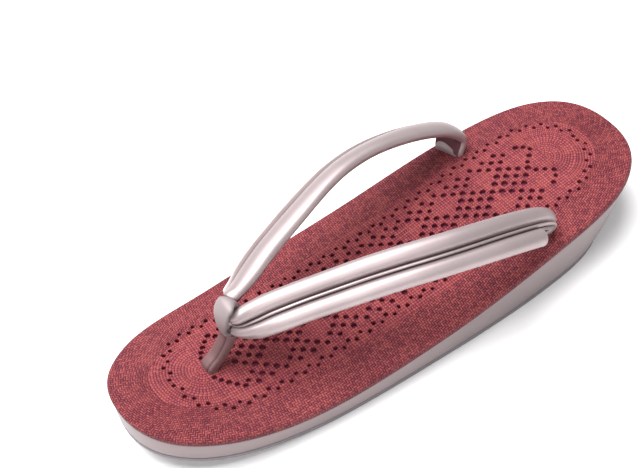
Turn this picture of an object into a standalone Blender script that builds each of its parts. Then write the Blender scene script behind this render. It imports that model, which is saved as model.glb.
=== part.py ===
"""Zori sandal: a low wedge with a padded woven top and a two-armed thong strap.

Metres, +Z up. The toe points to -Y and the heel to +Y. The origin is on the floor, under the middle of
the sandal. The last is straight, so the sandal is its own mirror image.
"""
import math

import bmesh
import bpy
import numpy as np
from mathutils import Matrix

# Driving dimensions
LENGTH = 0.240
HALF_WIDTH = 0.040
HEEL_EDGE_HEIGHT = 0.028
TOE_SPRING = 0.0105
SPRING_START = 0.35
OUTSOLE_THICKNESS = 0.0022
OUTSOLE_SETBACK = 0.0003
HEEL_RAKE = 0.0147
TOE_RAKE = 0.0007
SIDE_DRAFT = 0.0009
WALL_SETBACK = 0.0008
WALL_BULGE_RISE = 0.55
WALL_FULLNESS = 0.12
COVER_WALL = 0.0015
COVER_EDGE_HEIGHT = 0.0036
COVER_CROWN = 0.0024
GAP = 0.0003
STRAP_WIDTH = 0.0160
STRAP_THICKNESS = 0.0060
STRAP_RISE = 0.0370
LOOP_WALL = 0.0012
LOOP_WIDTH = 0.0090
POST_WIDTH = 0.0076
POST_THICKNESS = 0.0048
ANCHOR_DEPTH = 0.0055
ANCHOR_WIDTH = 0.0130
ANCHOR_THICKNESS = 0.0050
HOLE_RADIUS = 0.00125
HOLE_PITCH_ACROSS = 0.0025
HOLE_PITCH_ALONG = 0.00311

# Counts that set how finely the forms are cut
OUTLINE_STEPS = 36
ARM_STEPS = 26
RING_STEPS = 20
POST_STEPS = 8
TIP_ROUNDNESS = 0.89

# Plan outline and edge height, toe tip to heel tip
# turn: share of the half turn from toe tip to heel tip
# fullness: half width as a share of HALF_WIDTH, before the tip is rounded off
# edge: height of the cover's lower edge as a share of HEEL_EDGE_HEIGHT
OUTLINE_ROWS = (
    # turn, fullness, edge
    (0.0, 1.308, 0.879),
    (1 / 6, 1.222, 0.664),
    (2 / 6, 1.069, 0.375),
    (3 / 6, 0.995, 0.474),
    (4 / 6, 1.080, 0.804),
    (5 / 6, 1.314, 0.977),
    (1.0, 1.457, 1.000),
)

# Rolled edge of the cover, from its lower edge to the tread's shoulder
# inward: distance inside the widest outline as a share of COVER_EDGE_HEIGHT
# rise: share of the height from the lower edge to the shoulder
EDGE_SECTION = (
    # inward, rise
    (0.19, 0.0),
    (0.0, 0.33),
    (0.11, 0.72),
    (0.56, 1.0),
)
# Places across the tread that carry its crown, as shares of its half width
TOP_SHARES = (0.62, 0.30, 0.0, -0.30, -0.62)

# Right arm of the strap, from the middle of the knot to the hole beside the heel
# along: place as a share of LENGTH from the toe tip
# out: distance from the middle as a share of HALF_WIDTH
# rise: height over the tread as a share of STRAP_RISE
# width, thick: shares of STRAP_WIDTH and STRAP_THICKNESS
# across, back, upright: direction in which the band is wide, from its outer to its inner edge
STRAP_ROWS = (
    # along, out, rise, width, thick, across, back, upright
    (0.209, 0.000, 0.690, 0.74, 0.80, 0.00, 0.00, 1.00),
    (0.2175, 0.112, 0.700, 0.78, 0.85, -0.25, 0.00, 1.00),
    (0.238, 0.192, 0.765, 0.90, 0.92, -0.70, 0.00, 0.80),
    (0.270, 0.272, 0.850, 0.96, 0.97, -0.86, 0.00, 0.55),
    (0.322, 0.388, 0.935, 0.97, 1.00, -0.86, 0.00, 0.52),
    (0.398, 0.542, 0.990, 1.00, 1.00, -0.84, 0.00, 0.56),
    (0.457, 0.657, 1.000, 1.00, 1.00, -0.80, 0.00, 0.62),
    (0.510, 0.742, 0.965, 1.00, 1.00, -0.78, 0.00, 0.66),
    (0.564, 0.800, 0.880, 1.00, 1.00, -0.80, 0.00, 0.65),
    (0.623, 0.835, 0.740, 1.00, 1.00, -0.85, 0.00, 0.55),
    (0.682, 0.847, 0.555, 1.00, 1.00, -0.90, 0.05, 0.45),
    (0.727, 0.838, 0.370, 0.98, 1.00, -0.95, 0.15, 0.30),
    (0.750, 0.805, 0.190, 0.90, 0.95, -1.00, 0.25, 0.12),
    (0.742, 0.765, 0.050, 0.81, 0.84, -1.00, 0.30, 0.00),
)

# Section of the strap band: two rolls and a pinched ridge over a flat back
# across: share of the width from the outer edge (-0.5) to the inner edge (0.5)
# height: share of the thickness, back at -0.5
STRAP_SECTION = (
    # across, height
    (-0.42, -0.50),
    (0.42, -0.50),
    (0.50, -0.22),
    (0.49, 0.16),
    (0.40, 0.42),
    (0.27, 0.50),
    (0.15, 0.36),
    (0.09, 0.02),
    (0.04, 0.24),
    (-0.04, 0.24),
    (-0.09, 0.02),
    (-0.15, 0.36),
    (-0.27, 0.50),
    (-0.40, 0.42),
    (-0.49, 0.16),
    (-0.50, -0.22),
)

# Toe post, from the loop's underside to its end below the tread
# along: share of LENGTH from the toe tip; rise: share of STRAP_RISE over the tread
POST_ROWS = (
    # along, rise, width, thick
    (0.206, 0.50, 1.10, 1.10),
    (0.200, 0.40, 1.05, 1.05),
    (0.182, 0.220, 1.00, 1.00),
    (0.1660, 0.115, 1.00, 1.00),
    (0.1622, 0.075, 1.00, 1.00),
    (0.1620, -0.03, 1.00, 1.00),
)
POST_SECTION = (
    # across, height
    (-0.5, -0.28),
    (-0.42, -0.5),
    (0.42, -0.5),
    (0.5, -0.28),
    (0.5, 0.28),
    (0.42, 0.5),
    (-0.42, 0.5),
    (-0.5, 0.28),
)

# Loop round the strap, seen from the side: middle and half sizes
LOOP_ALONG = 0.2104
LOOP_RISE = 0.715
LOOP_HALF_DEPTH = 0.0034
LOOP_HALF_HEIGHT = 0.0079
LOOP_LEAN = math.radians(5)
LOOP_SQUARENESS = 0.58
LOOP_BACK_SHARE = 0.28
LOOP_SECTION = (
    # across: share of the loop's width; out: share of the wall from its inner skin
    (-0.5, 0.0),
    (-0.42, 1.0),
    (0.42, 1.0),
    (0.5, 0.0),
)

# Openwork: diamonds along the middle, a row of holes every half step
DIAMOND_ROWS = 6
DIAMOND_REACH = 3
OPENWORK_FIRST_ROW = -22
OPENWORK_LAST_ROW = 23

COLORS = {
    # name: base color, roughness, metallic
    "outsole": ((0.10, 0.10, 0.12, 1.0), 0.70, 0.0),
    "wedge_body": ((0.42, 0.36, 0.36, 1.0), 0.42, 0.3),
    "insole_pad": ((0.10, 0.01, 0.02, 1.0), 0.85, 0.0),
    "woven_cover": ((0.42, 0.07, 0.07, 1.0), 0.50, 0.0),
    "strap": ((0.60, 0.50, 0.50, 1.0), 0.35, 0.4),
    "toe_loop": ((0.52, 0.43, 0.43, 1.0), 0.38, 0.4),
}


def remove_everything():
    """Empty the scene of the objects that a new file holds."""
    for old in list(bpy.data.objects):
        bpy.data.objects.remove(old, do_unlink=True)


def new_collection(name):
    """Return a new collection linked to the scene."""
    collection = bpy.data.collections.new(name)
    bpy.context.scene.collection.children.link(collection)
    return collection


def new_material(name):
    """Return the plain material of one piece."""
    color, roughness, metallic = COLORS[name]
    material = bpy.data.materials.new(name)
    material.use_nodes = True
    shader = material.node_tree.nodes["Principled BSDF"]
    shader.inputs["Base Color"].default_value = color
    shader.inputs["Roughness"].default_value = roughness
    shader.inputs["Metallic"].default_value = metallic
    material.diffuse_color = color
    return material


def new_object(name, vertices, faces, collection):
    """Make a mesh object whose faces point outwards."""
    mesh = bpy.data.meshes.new(name)
    mesh.from_pydata([tuple(map(float, v)) for v in vertices], [], faces)
    work = bmesh.new()
    work.from_mesh(mesh)
    bmesh.ops.recalc_face_normals(work, faces=work.faces)
    work.to_mesh(mesh)
    work.free()
    piece = bpy.data.objects.new(name, mesh)
    collection.objects.link(piece)
    return piece


def smooth_row(table, place, level_ends=False):
    """Read a table's row at a place, on a curve that is smooth through all of its rows.

    The first column holds the rows' places. Each stretch is a cubic whose slopes come from the rows on
    both sides. With level_ends the curve starts and ends level, as where it meets its own mirror image.
    """
    rows = np.array(table)
    places = rows[:, 0]
    slopes = np.gradient(rows[:, 1:], places, axis=0)
    if level_ends:
        slopes[0] = 0.0
        slopes[-1] = 0.0
    k = int(np.clip(np.searchsorted(places, place) - 1, 0, len(places) - 2))
    span = places[k + 1] - places[k]
    s = (place - places[k]) / span
    return (
        (2 * s**3 - 3 * s**2 + 1) * rows[k, 1:]
        + (s**3 - 2 * s**2 + s) * span * slopes[k]
        + (3 * s**2 - 2 * s**3) * rows[k + 1, 1:]
        + (s**3 - s**2) * span * slopes[k + 1]
    )


def half_width(turn):
    """Half width of the sandal at a share of the turn from toe tip to heel tip."""
    fullness = smooth_row(OUTLINE_ROWS, turn, level_ends=True)[0]
    return HALF_WIDTH * fullness * max(math.sin(math.pi * turn), 0.0) ** TIP_ROUNDNESS


def turn_at(y):
    """Share of the turn from toe tip to heel tip at a place along the sandal."""
    return math.acos(max(-1.0, min(1.0, -2 * y / LENGTH))) / math.pi


def edge_height(y):
    """Height of the cover's lower edge at a place along the sandal."""
    return HEEL_EDGE_HEIGHT * smooth_row(OUTLINE_ROWS, turn_at(y), level_ends=True)[1]


def sole_height(y):
    """Height of the underside over the floor: flat, then rising in a curve to the toe tip."""
    ahead = -2 * y / LENGTH
    return TOE_SPRING * max(0.0, (ahead - SPRING_START) / (1 - SPRING_START)) ** 2


def outline(setback=0.0):
    """Closed plan outline, set back square to itself, as points from the toe tip round the right side."""
    steps = 2 * OUTLINE_STEPS
    points = []
    for k in range(steps):
        share = k / OUTLINE_STEPS
        turn = share if share <= 1 else 2 - share
        side = 1 if share <= 1 else -1
        points.append((side * half_width(turn), -LENGTH / 2 * math.cos(math.pi * turn)))
    points = np.array(points)
    ahead = np.roll(points, -1, axis=0) - np.roll(points, 1, axis=0)
    normal = np.stack([ahead[:, 1], -ahead[:, 0]], axis=1)
    normal /= np.linalg.norm(normal, axis=1, keepdims=True)
    return points - normal * setback


def sole_outline(setback=0.0):
    """The outline at the floor: the wall's, drawn in by the rakes of toe and heel and the sides' draft."""
    points = outline(setback)
    points[:, 0] *= 1 - SIDE_DRAFT / HALF_WIDTH
    rake = np.where(points[:, 1] > 0, HEEL_RAKE, TOE_RAKE)
    points[:, 1] *= 1 - rake / (LENGTH / 2)
    return points


def ring(points, height):
    """Give each point of an outline its height, from a function of its place along the sandal."""
    return [(x, y, height(y)) for x, y in points]


def cap_faces(first, columns):
    """Faces across a closed ring, row by row from tip to tip.

    first is the index of the ring's first point. columns lists, for each row, the points between the
    ring's right and left point, so that the top can be crowned.
    """
    steps = 2 * OUTLINE_STEPS
    rows = []
    for k in range(1, OUTLINE_STEPS):
        rows.append([first + k] + columns[k - 1] + [first + steps - k])
    toe_tip = first
    heel_tip = first + OUTLINE_STEPS
    faces = []
    for a, b in zip(rows[0], rows[0][1:]):
        faces.append((toe_tip, a, b))
    for near, far in zip(rows, rows[1:]):
        for k in range(len(near) - 1):
            faces.append((near[k], far[k], far[k + 1], near[k + 1]))
    for a, b in zip(rows[-1], rows[-1][1:]):
        faces.append((heel_tip, b, a))
    return faces


def crowned_columns(points, height, rise, start, shares):
    """Points between the right and left side of an outline, higher by rise along the middle.

    The crown sinks toward both tips, where the outline narrows.
    """
    vertices = []
    columns = []
    for k in range(1, OUTLINE_STEPS):
        right_x, y = points[k]
        crown = rise * (1 - (1 - min(1.0, right_x / HALF_WIDTH)) ** 2)
        column = []
        for share in shares:
            column.append(start + len(vertices))
            vertices.append((right_x * share, y, height(y) + crown * (1 - share**2)))
        columns.append(column)
    return vertices, columns


def band_faces(first, second):
    """Quads between two closed rings that start at the given indices."""
    steps = 2 * OUTLINE_STEPS
    return [
        (first + k, first + (k + 1) % steps, second + (k + 1) % steps, second + k)
        for k in range(steps)
    ]


def slab(name, rings, collection, rise=0.0, shares=()):
    """A solid stacked from closed rings, flat across below and crowned by rise above."""
    steps = 2 * OUTLINE_STEPS
    vertices = [point for one in rings for point in one]
    faces = []
    for k in range(len(rings) - 1):
        faces += band_faces(k * steps, (k + 1) * steps)
    top = rings[-1]
    heights = {point[1]: point[2] for point in top}
    extra, columns = crowned_columns(
        [(x, y) for x, y, _ in top], heights.get, rise, len(vertices), shares
    )
    vertices += extra
    faces += cap_faces((len(rings) - 1) * steps, columns)
    faces += cap_faces(0, [[] for _ in range(OUTLINE_STEPS - 1)])
    return new_object(name, vertices, faces, collection)


def make_outsole(collection):
    """Thin sheet that follows the underside up to the toe."""
    points = sole_outline(OUTSOLE_SETBACK)
    rings = [
        ring(points, sole_height),
        ring(points, lambda y: sole_height(y) + OUTSOLE_THICKNESS),
    ]
    return slab("outsole", rings, collection)


def make_wedge_body(collection):
    """Wedge from the outsole up to the cover's edge, its wall leaning in toward the floor."""
    low = sole_outline()
    high = outline(WALL_SETBACK)
    foot = np.array(ring(low, lambda y: sole_height(y) + OUTSOLE_THICKNESS + GAP))
    seat = np.array(ring(high, lambda y: edge_height(y) - GAP))
    middle = foot + (seat - foot) * WALL_BULGE_RISE
    middle[:, :2] += (seat - foot)[:, :2] * WALL_FULLNESS
    return slab("wedge_body", [foot.tolist(), middle.tolist(), seat.tolist()], collection)


def tread_height(y):
    """Height of the tread's shoulder, where the rolled edge meets the top."""
    return edge_height(y) + COVER_EDGE_HEIGHT


def edge_rings(inward, top):
    """Rings round the rolled edge, moved inward and drawn to a height of top over the lower edge."""
    return [
        ring(outline(share * COVER_EDGE_HEIGHT + inward), lambda y, up=rise * top: edge_height(y) + up)
        for share, rise in EDGE_SECTION
    ]


def make_insole_pad(collection):
    """Padded board that fills the cover, a gap clear of it all round."""
    inward = COVER_WALL + GAP
    rings = edge_rings(inward, COVER_EDGE_HEIGHT - inward)
    return slab("insole_pad", rings, collection, COVER_CROWN, TOP_SHARES)


def make_woven_cover(collection):
    """One wall over the pad: a crowned top, a rolled edge and an open underside."""
    outer = edge_rings(0.0, COVER_EDGE_HEIGHT)
    inner = edge_rings(COVER_WALL, COVER_EDGE_HEIGHT - COVER_WALL)
    vertices = []
    faces = []
    starts = []
    for one in outer + inner:
        starts.append(len(vertices))
        vertices += one
    count = len(outer)
    for k in range(count - 1):
        faces += band_faces(starts[k], starts[k + 1])
        faces += band_faces(starts[count + k + 1], starts[count + k])
    faces += band_faces(starts[count], starts[0])
    for rings, start in ((outer, starts[count - 1]), (inner, starts[2 * count - 1])):
        top = rings[-1]
        heights = {point[1]: point[2] for point in top}
        extra, columns = crowned_columns(
            [(x, y) for x, y, _ in top], heights.get, COVER_CROWN, len(vertices), TOP_SHARES
        )
        vertices += extra
        faces += cap_faces(start, columns)
    return new_object("woven_cover", vertices, faces, collection)


def smooth_path(table, steps, first=0):
    """Rows read evenly from a table's row number first to its last, on a smooth curve through them."""
    rows = [(k,) + tuple(row) for k, row in enumerate(table)]
    last = len(rows) - 1
    return np.array([smooth_row(rows, first + (last - first) * k / steps) for k in range(steps + 1)])


def mirrored_start(table, odd):
    """The table with its second row repeated in front, mirrored in the columns named by odd."""
    before = list(table[1])
    for column in odd:
        before[column] = -before[column]
    return (tuple(before),) + tuple(table)


def strap_frames():
    """Centre, width direction, outward direction, width and thickness along the whole strap.

    The right arm is read from the table and the left arm is its mirror image, so the path runs from
    the left hole over the knot to the right hole. The last stretch of each arm goes straight down.
    """
    rows = smooth_path(mirrored_start(STRAP_ROWS, odd=(1, 5)), ARM_STEPS, first=1)
    along = (rows[:, 0] - 0.5) * LENGTH
    centres = np.stack(
        [
            rows[:, 1] * HALF_WIDTH,
            along,
            [tread_height(y) + rise * STRAP_RISE for y, rise in zip(along, rows[:, 2])],
        ],
        axis=1,
    )
    wide = rows[:, 5:8].copy()
    widths = rows[:, 3] * STRAP_WIDTH
    thicks = rows[:, 4] * STRAP_THICKNESS
    end = centres[-1].copy()
    end[2] = tread_height(end[1]) - ANCHOR_DEPTH
    centres = np.vstack([centres, (centres[-1] + end) / 2, end])
    wide = np.vstack([wide, wide[-1], wide[-1]])
    widths = np.append(widths, [ANCHOR_WIDTH, ANCHOR_WIDTH])
    thicks = np.append(thicks, [ANCHOR_THICKNESS, ANCHOR_THICKNESS])
    flip = np.array([-1.0, 1.0, 1.0])
    centres = np.vstack([(centres * flip)[:0:-1], centres])
    wide = np.vstack([(wide * flip)[:0:-1], wide])
    widths = np.concatenate([widths[:0:-1], widths])
    thicks = np.concatenate([thicks[:0:-1], thicks])
    forward = np.gradient(centres, axis=0)
    forward /= np.linalg.norm(forward, axis=1, keepdims=True)
    wide -= forward * np.sum(wide * forward, axis=1, keepdims=True)
    wide /= np.linalg.norm(wide, axis=1, keepdims=True)
    outward = np.cross(forward, wide)
    return centres, wide, outward, widths, thicks


def sweep(name, centres, wide, outward, widths, thicks, section, collection):
    """Carry a section along a path and close both ends."""
    section = np.array(section)
    count = len(section)
    vertices = []
    for centre, w, n, width, thick in zip(centres, wide, outward, widths, thicks):
        vertices += (
            centre + np.outer(section[:, 0] * width, w) + np.outer(section[:, 1] * thick, n)
        ).tolist()
    faces = []
    for k in range(len(centres) - 1):
        for j in range(count):
            a = k * count + j
            b = k * count + (j + 1) % count
            faces.append((a, b, b + count, a + count))
    faces.append(tuple(range(count)))
    last = (len(centres) - 1) * count
    faces.append(tuple(range(last, last + count)))
    return new_object(name, vertices, faces, collection)


def make_strap(collection):
    """Both arms of the strap in one piece."""
    centres, wide, outward, widths, thicks = strap_frames()
    return sweep("strap", centres, wide, outward, widths, thicks, STRAP_SECTION, collection)


def post_path():
    """Centres and sizes of the toe post, from inside the loop's wall down to its end."""
    rows = smooth_path(POST_ROWS, POST_STEPS)
    along = (rows[:, 0] - 0.5) * LENGTH
    heights = [tread_height(y) + rise * STRAP_RISE for y, rise in zip(along, rows[:, 1])]
    centres = np.stack([np.zeros(len(rows)), along, heights], axis=1)
    end = centres[-1].copy()
    end[2] = tread_height(end[1]) - ANCHOR_DEPTH
    centres = np.vstack([centres, end])
    widths = np.append(rows[:, 2], 1.0) * POST_WIDTH
    thicks = np.append(rows[:, 3], 1.0) * POST_THICKNESS
    return centres, widths, thicks


def make_toe_loop(collection, cutters):
    """Flat ring round the front of the strap, joined to the toe post."""
    centre_y = (LOOP_ALONG - 0.5) * LENGTH
    centre_z = tread_height(centre_y) + LOOP_RISE * STRAP_RISE
    lean = np.array([math.cos(LOOP_LEAN), math.sin(LOOP_LEAN)])
    vertices = []
    for k in range(RING_STEPS):
        angle = 2 * math.pi * k / RING_STEPS
        round_deep = math.copysign(abs(math.cos(angle)) ** LOOP_SQUARENESS, math.cos(angle))
        round_high = math.copysign(abs(math.sin(angle)) ** LOOP_SQUARENESS, math.sin(angle))
        middle = (1 + LOOP_BACK_SHARE) / 2
        width = LOOP_WIDTH * (middle - (1 - middle) * round_deep)
        for across, depth in LOOP_SECTION:
            deep = (LOOP_HALF_DEPTH + depth * LOOP_WALL) * round_deep
            high = (LOOP_HALF_HEIGHT + depth * LOOP_WALL) * round_high
            y = centre_y + deep * lean[0] + high * lean[1]
            z = centre_z - deep * lean[1] + high * lean[0]
            vertices.append((across * width, y, z))
    count = len(LOOP_SECTION)
    faces = []
    for k in range(RING_STEPS):
        for j in range(count):
            a = k * count + j
            b = k * count + (j + 1) % count
            c = ((k + 1) % RING_STEPS) * count
            faces.append((a, b, c + (j + 1) % count, c + j))
    loop = new_object("toe_loop", vertices, faces, collection)
    centres, widths, thicks = post_path()
    forward = np.gradient(centres, axis=0)
    forward /= np.linalg.norm(forward, axis=1, keepdims=True)
    wide = np.tile([1.0, 0.0, 0.0], (len(centres), 1))
    outward = np.cross(forward, wide)
    post = sweep("toe_post", centres, wide, outward, widths, thicks, POST_SECTION, cutters)
    hide_helper(post)
    join = loop.modifiers.new("post", "BOOLEAN")
    join.operation = "UNION"
    join.object = post
    return loop


def hide_helper(piece):
    """Mark an object as a cutter or a guide."""
    piece.hide_render = True
    piece.display_type = "WIRE"


def hole_places():
    """Centres of the openwork holes: diamonds that touch tip to tip along the middle of the sandal."""
    places = []
    for row in range(OPENWORK_FIRST_ROW, OPENWORK_LAST_ROW + 1):
        within = row % DIAMOND_ROWS
        reach = min(within, DIAMOND_ROWS - within)
        for step in range(-DIAMOND_REACH, DIAMOND_REACH + 1):
            if (step + row) % 2 == 0 and abs(step) <= reach:
                places.append((step * HOLE_PITCH_ACROSS, row * HOLE_PITCH_ALONG))
    return places


def make_openwork_cutter(cutters):
    """Six-sided pins, one for each hole, that reach through the cover's wall."""
    work = bmesh.new()
    for x, y in hole_places():
        made = bmesh.ops.create_cone(
            work, cap_ends=True, segments=6, radius1=HOLE_RADIUS, radius2=HOLE_RADIUS,
            depth=4 * COVER_WALL,
        )
        middle = tread_height(y) + COVER_CROWN - COVER_WALL / 2
        bmesh.ops.translate(work, verts=made["verts"], vec=(x, y, middle))
    return helper_from(work, "openwork_cutter", cutters)


def helper_from(work, name, cutters):
    """Turn a working mesh into a hidden helper object."""
    mesh = bpy.data.meshes.new(name)
    work.to_mesh(mesh)
    work.free()
    helper = bpy.data.objects.new(name, mesh)
    cutters.objects.link(helper)
    hide_helper(helper)
    return helper


def make_anchor_cutter(cutters):
    """Slots for the two strap ends and the post, a gap wider than what goes through them."""
    work = bmesh.new()
    frames = strap_frames()
    centres = frames[0]
    post = post_path()[0]
    across = frames[1][-1]
    turn = math.atan2(across[1], across[0])
    slots = (
        (centres[0], ANCHOR_WIDTH, ANCHOR_THICKNESS, -turn),
        (centres[-1], ANCHOR_WIDTH, ANCHOR_THICKNESS, turn),
        (post[-1], POST_WIDTH, POST_THICKNESS, 0.0),
    )
    for place, width, thick, angle in slots:
        top = tread_height(place[1]) + ANCHOR_DEPTH
        bottom = place[2] - GAP
        made = bmesh.ops.create_cube(work, size=1.0)
        bmesh.ops.scale(
            work, verts=made["verts"], vec=(width + 2 * GAP, thick + 2 * GAP, top - bottom)
        )
        bmesh.ops.rotate(work, verts=made["verts"], matrix=Matrix.Rotation(angle, 3, "Z"))
        bmesh.ops.translate(
            work, verts=made["verts"], vec=(place[0], place[1], (top + bottom) / 2)
        )
    return helper_from(work, "anchor_cutter", cutters)


def cut(piece, cutter, name):
    """Take a cutter away from a piece."""
    modifier = piece.modifiers.new(name, "BOOLEAN")
    modifier.operation = "DIFFERENCE"
    modifier.object = cutter


def main():
    remove_everything()
    collection = new_collection("zori_sandal")
    cutters = new_collection("cutters")
    outsole = make_outsole(collection)
    body = make_wedge_body(collection)
    pad = make_insole_pad(collection)
    cover = make_woven_cover(collection)
    strap = make_strap(collection)
    loop = make_toe_loop(collection, cutters)
    anchors = make_anchor_cutter(cutters)
    openwork = make_openwork_cutter(cutters)
    for piece in (body, pad, cover):
        cut(piece, anchors, "anchors")
    cut(cover, openwork, "openwork")
    for piece in (outsole, body, pad, cover, strap, loop):
        piece.data.materials.append(new_material(piece.name))


main()
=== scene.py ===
"""Looks of a zori sandal: its woven openwork top, padded thong strap, covered wedge and thin outsole.

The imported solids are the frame. Every piece here is a surface worked out from the sandal's own sizes, in
metres, with +Z up, the toe at -Y and the heel at +Y. The sandal is its own mirror image about X = 0.
"""
import math

import bmesh
import bpy
import numpy as np
from mathutils import Matrix, Vector


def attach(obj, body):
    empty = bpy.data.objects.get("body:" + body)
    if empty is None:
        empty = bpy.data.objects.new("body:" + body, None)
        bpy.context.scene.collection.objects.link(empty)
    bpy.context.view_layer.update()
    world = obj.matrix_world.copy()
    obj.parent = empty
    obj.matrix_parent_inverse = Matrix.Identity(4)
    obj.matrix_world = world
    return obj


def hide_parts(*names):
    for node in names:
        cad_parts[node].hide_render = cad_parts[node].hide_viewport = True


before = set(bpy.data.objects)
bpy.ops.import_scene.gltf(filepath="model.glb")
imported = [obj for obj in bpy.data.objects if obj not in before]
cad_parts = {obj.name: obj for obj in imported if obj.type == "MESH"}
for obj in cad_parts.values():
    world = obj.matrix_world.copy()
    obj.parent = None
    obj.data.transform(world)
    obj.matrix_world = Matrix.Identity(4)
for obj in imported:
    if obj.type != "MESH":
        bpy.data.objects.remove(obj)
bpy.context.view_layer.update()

bl_info = {
    "name": "Zori Sandal",
    "version": (1, 0, 0),
    "blender": (4, 5, 0),
    "location": "3D View > Sidebar > Zori",
    "description": "Dresses the solids of a zori sandal with its woven top, strap and sole",
    "category": "Add Mesh",
}

# Main sizes of the last and the sole, the same as those of the solids
LENGTH = 0.240
HALF_WIDTH = 0.040
HEEL_EDGE_HEIGHT = 0.028
TOE_SPRING = 0.0105
SPRING_START = 0.35
OUTSOLE_THICKNESS = 0.0022
OUTSOLE_SETBACK = 0.0003
HEEL_RAKE = 0.0147
TOE_RAKE = 0.0007
SIDE_DRAFT = 0.0009
WALL_SETBACK = 0.0008
WALL_BULGE_RISE = 0.55
WALL_FULLNESS = 0.12
COVER_WALL = 0.0015
COVER_EDGE_HEIGHT = 0.0036
COVER_CROWN = 0.0024
GAP = 0.0003
TIP_ROUNDNESS = 0.89

# Sizes of the strap, the loop and the post
STRAP_WIDTH = 0.0160
STRAP_THICKNESS = 0.0060
STRAP_RISE = 0.0370
LOOP_WALL = 0.0012
LOOP_WIDTH = 0.0090
POST_WIDTH = 0.0076
POST_THICKNESS = 0.0048
ANCHOR_DEPTH = 0.0055
ANCHOR_WIDTH = 0.0130
ANCHOR_THICKNESS = 0.0050

# Plan outline and edge height, toe tip to heel tip
# turn: share of the half turn from toe tip to heel tip
# fullness: half width as a share of HALF_WIDTH, before the tip is rounded off
# edge: height of the cover's lower edge as a share of HEEL_EDGE_HEIGHT
OUTLINE_ROWS = (
    # turn, fullness, edge
    (0.0, 1.308, 0.879),
    (1 / 6, 1.222, 0.664),
    (2 / 6, 1.069, 0.375),
    (3 / 6, 0.995, 0.474),
    (4 / 6, 1.080, 0.804),
    (5 / 6, 1.314, 0.977),
    (1.0, 1.457, 1.000),
)

# Right arm of the strap, from the middle of the knot to the hole beside the heel
# along: place as a share of LENGTH from the toe tip
# out: distance from the middle as a share of HALF_WIDTH
# rise: height over the tread as a share of STRAP_RISE
# width, thick: shares of STRAP_WIDTH and STRAP_THICKNESS
# across, back, upright: direction in which the band is wide, from its outer to its inner edge
STRAP_ROWS = (
    # along, out, rise, width, thick, across, back, upright
    (0.209, 0.000, 0.690, 0.74, 0.80, 0.00, 0.00, 1.00),
    (0.2175, 0.112, 0.700, 0.78, 0.85, -0.25, 0.00, 1.00),
    (0.238, 0.192, 0.765, 0.90, 0.92, -0.70, 0.00, 0.80),
    (0.270, 0.272, 0.850, 0.96, 0.97, -0.86, 0.00, 0.55),
    (0.322, 0.388, 0.935, 0.97, 1.00, -0.86, 0.00, 0.52),
    (0.398, 0.542, 0.990, 1.00, 1.00, -0.84, 0.00, 0.56),
    (0.457, 0.657, 1.000, 1.00, 1.00, -0.80, 0.00, 0.62),
    (0.510, 0.742, 0.965, 1.00, 1.00, -0.78, 0.00, 0.66),
    (0.564, 0.800, 0.880, 1.00, 1.00, -0.80, 0.00, 0.65),
    (0.623, 0.835, 0.740, 1.00, 1.00, -0.85, 0.00, 0.55),
    (0.682, 0.847, 0.555, 1.00, 1.00, -0.90, 0.05, 0.45),
    (0.727, 0.838, 0.370, 0.98, 1.00, -0.95, 0.15, 0.30),
    (0.750, 0.805, 0.190, 0.90, 0.95, -1.00, 0.25, 0.12),
    (0.742, 0.765, 0.050, 0.81, 0.84, -1.00, 0.30, 0.00),
)

# Section of the strap band: two rolls and a pinched ridge over a flat back, right half
# across: share of the width from the middle to the inner edge (0.5)
# height: share of the thickness, back at -0.5
ROLL_FOOT = 0.068
GROOVE_PLACE = 0.050
HALF_SECTION = (
    # across, height
    (0.0, -0.47),
    (0.25, -0.50),
    (0.42, -0.48),
    (0.50, -0.22),
    (0.49, 0.16),
    (0.40, 0.42),
    (0.27, 0.50),
    (0.14, 0.40),
    (ROLL_FOOT, 0.08),
    (GROOVE_PLACE, -0.02),
    (0.037, 0.16),
    (0.024, 0.27),
    (0.0, 0.30),
)
STRAP_SECTION = HALF_SECTION + tuple((-across, height) for across, height in HALF_SECTION[-2:0:-1])

# Toe post, from the loop's underside to its end below the tread
# along: share of LENGTH from the toe tip; rise: share of STRAP_RISE over the tread
POST_ROWS = (
    # along, rise, width, thick
    (0.206, 0.50, 1.10, 1.10),
    (0.200, 0.40, 1.05, 1.05),
    (0.182, 0.220, 1.00, 1.00),
    (0.1660, 0.115, 1.00, 1.00),
    (0.1622, 0.075, 1.00, 1.00),
    (0.1620, -0.03, 1.00, 1.00),
)

# Loop round the strap, seen from the side: middle and half sizes
LOOP_ALONG = 0.2104
LOOP_RISE = 0.715
LOOP_HALF_DEPTH = 0.0034
LOOP_HALF_HEIGHT = 0.0079
LOOP_LEAN = math.radians(5)
LOOP_FINE_SQUARENESS = 0.88
LOOP_BACK_SHARE = 0.28
# How much narrower the loop is at its foot than at its top, and the post at its top than at its foot
LOOP_TAPER = 0.42
POST_TAPER = 0.22

# Openwork: lattice of holes, six rows to a diamond
HOLE_PITCH_ACROSS = 0.0025
HOLE_PITCH_ALONG = 0.00311
DIAMOND_ROWS = 6
FIELD_ROWS = range(-23, 25)
# Places across, in pitches: the flanks' outermost holes, and the sparse line beyond them
FLANK_STEP = 5
EDGE_STEP = 6
# Stretch along the sandal where every place of the lattice has its hole
FULL_BAND = (0.0605, 0.0690)
# Radius of the holes outside the diamonds, as a share of those within
OUTER_HOLE_SHARE = 0.84
# How uneven the holes are, and the steps of the sines that stand in for chance
UNEVEN_PLACE = 0.00012
UNEVEN_RADIUS = 0.09
UNEVEN_STEPS = (2.4, 3.7, 5.1)

# Weave: the border's strands as a share of the field's, their height, and the radius of the ring that
# has the full number of strands
BORDER_FINENESS = 0.78
STRAND_HEIGHT = 0.00042
FULL_RING = 0.009

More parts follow.
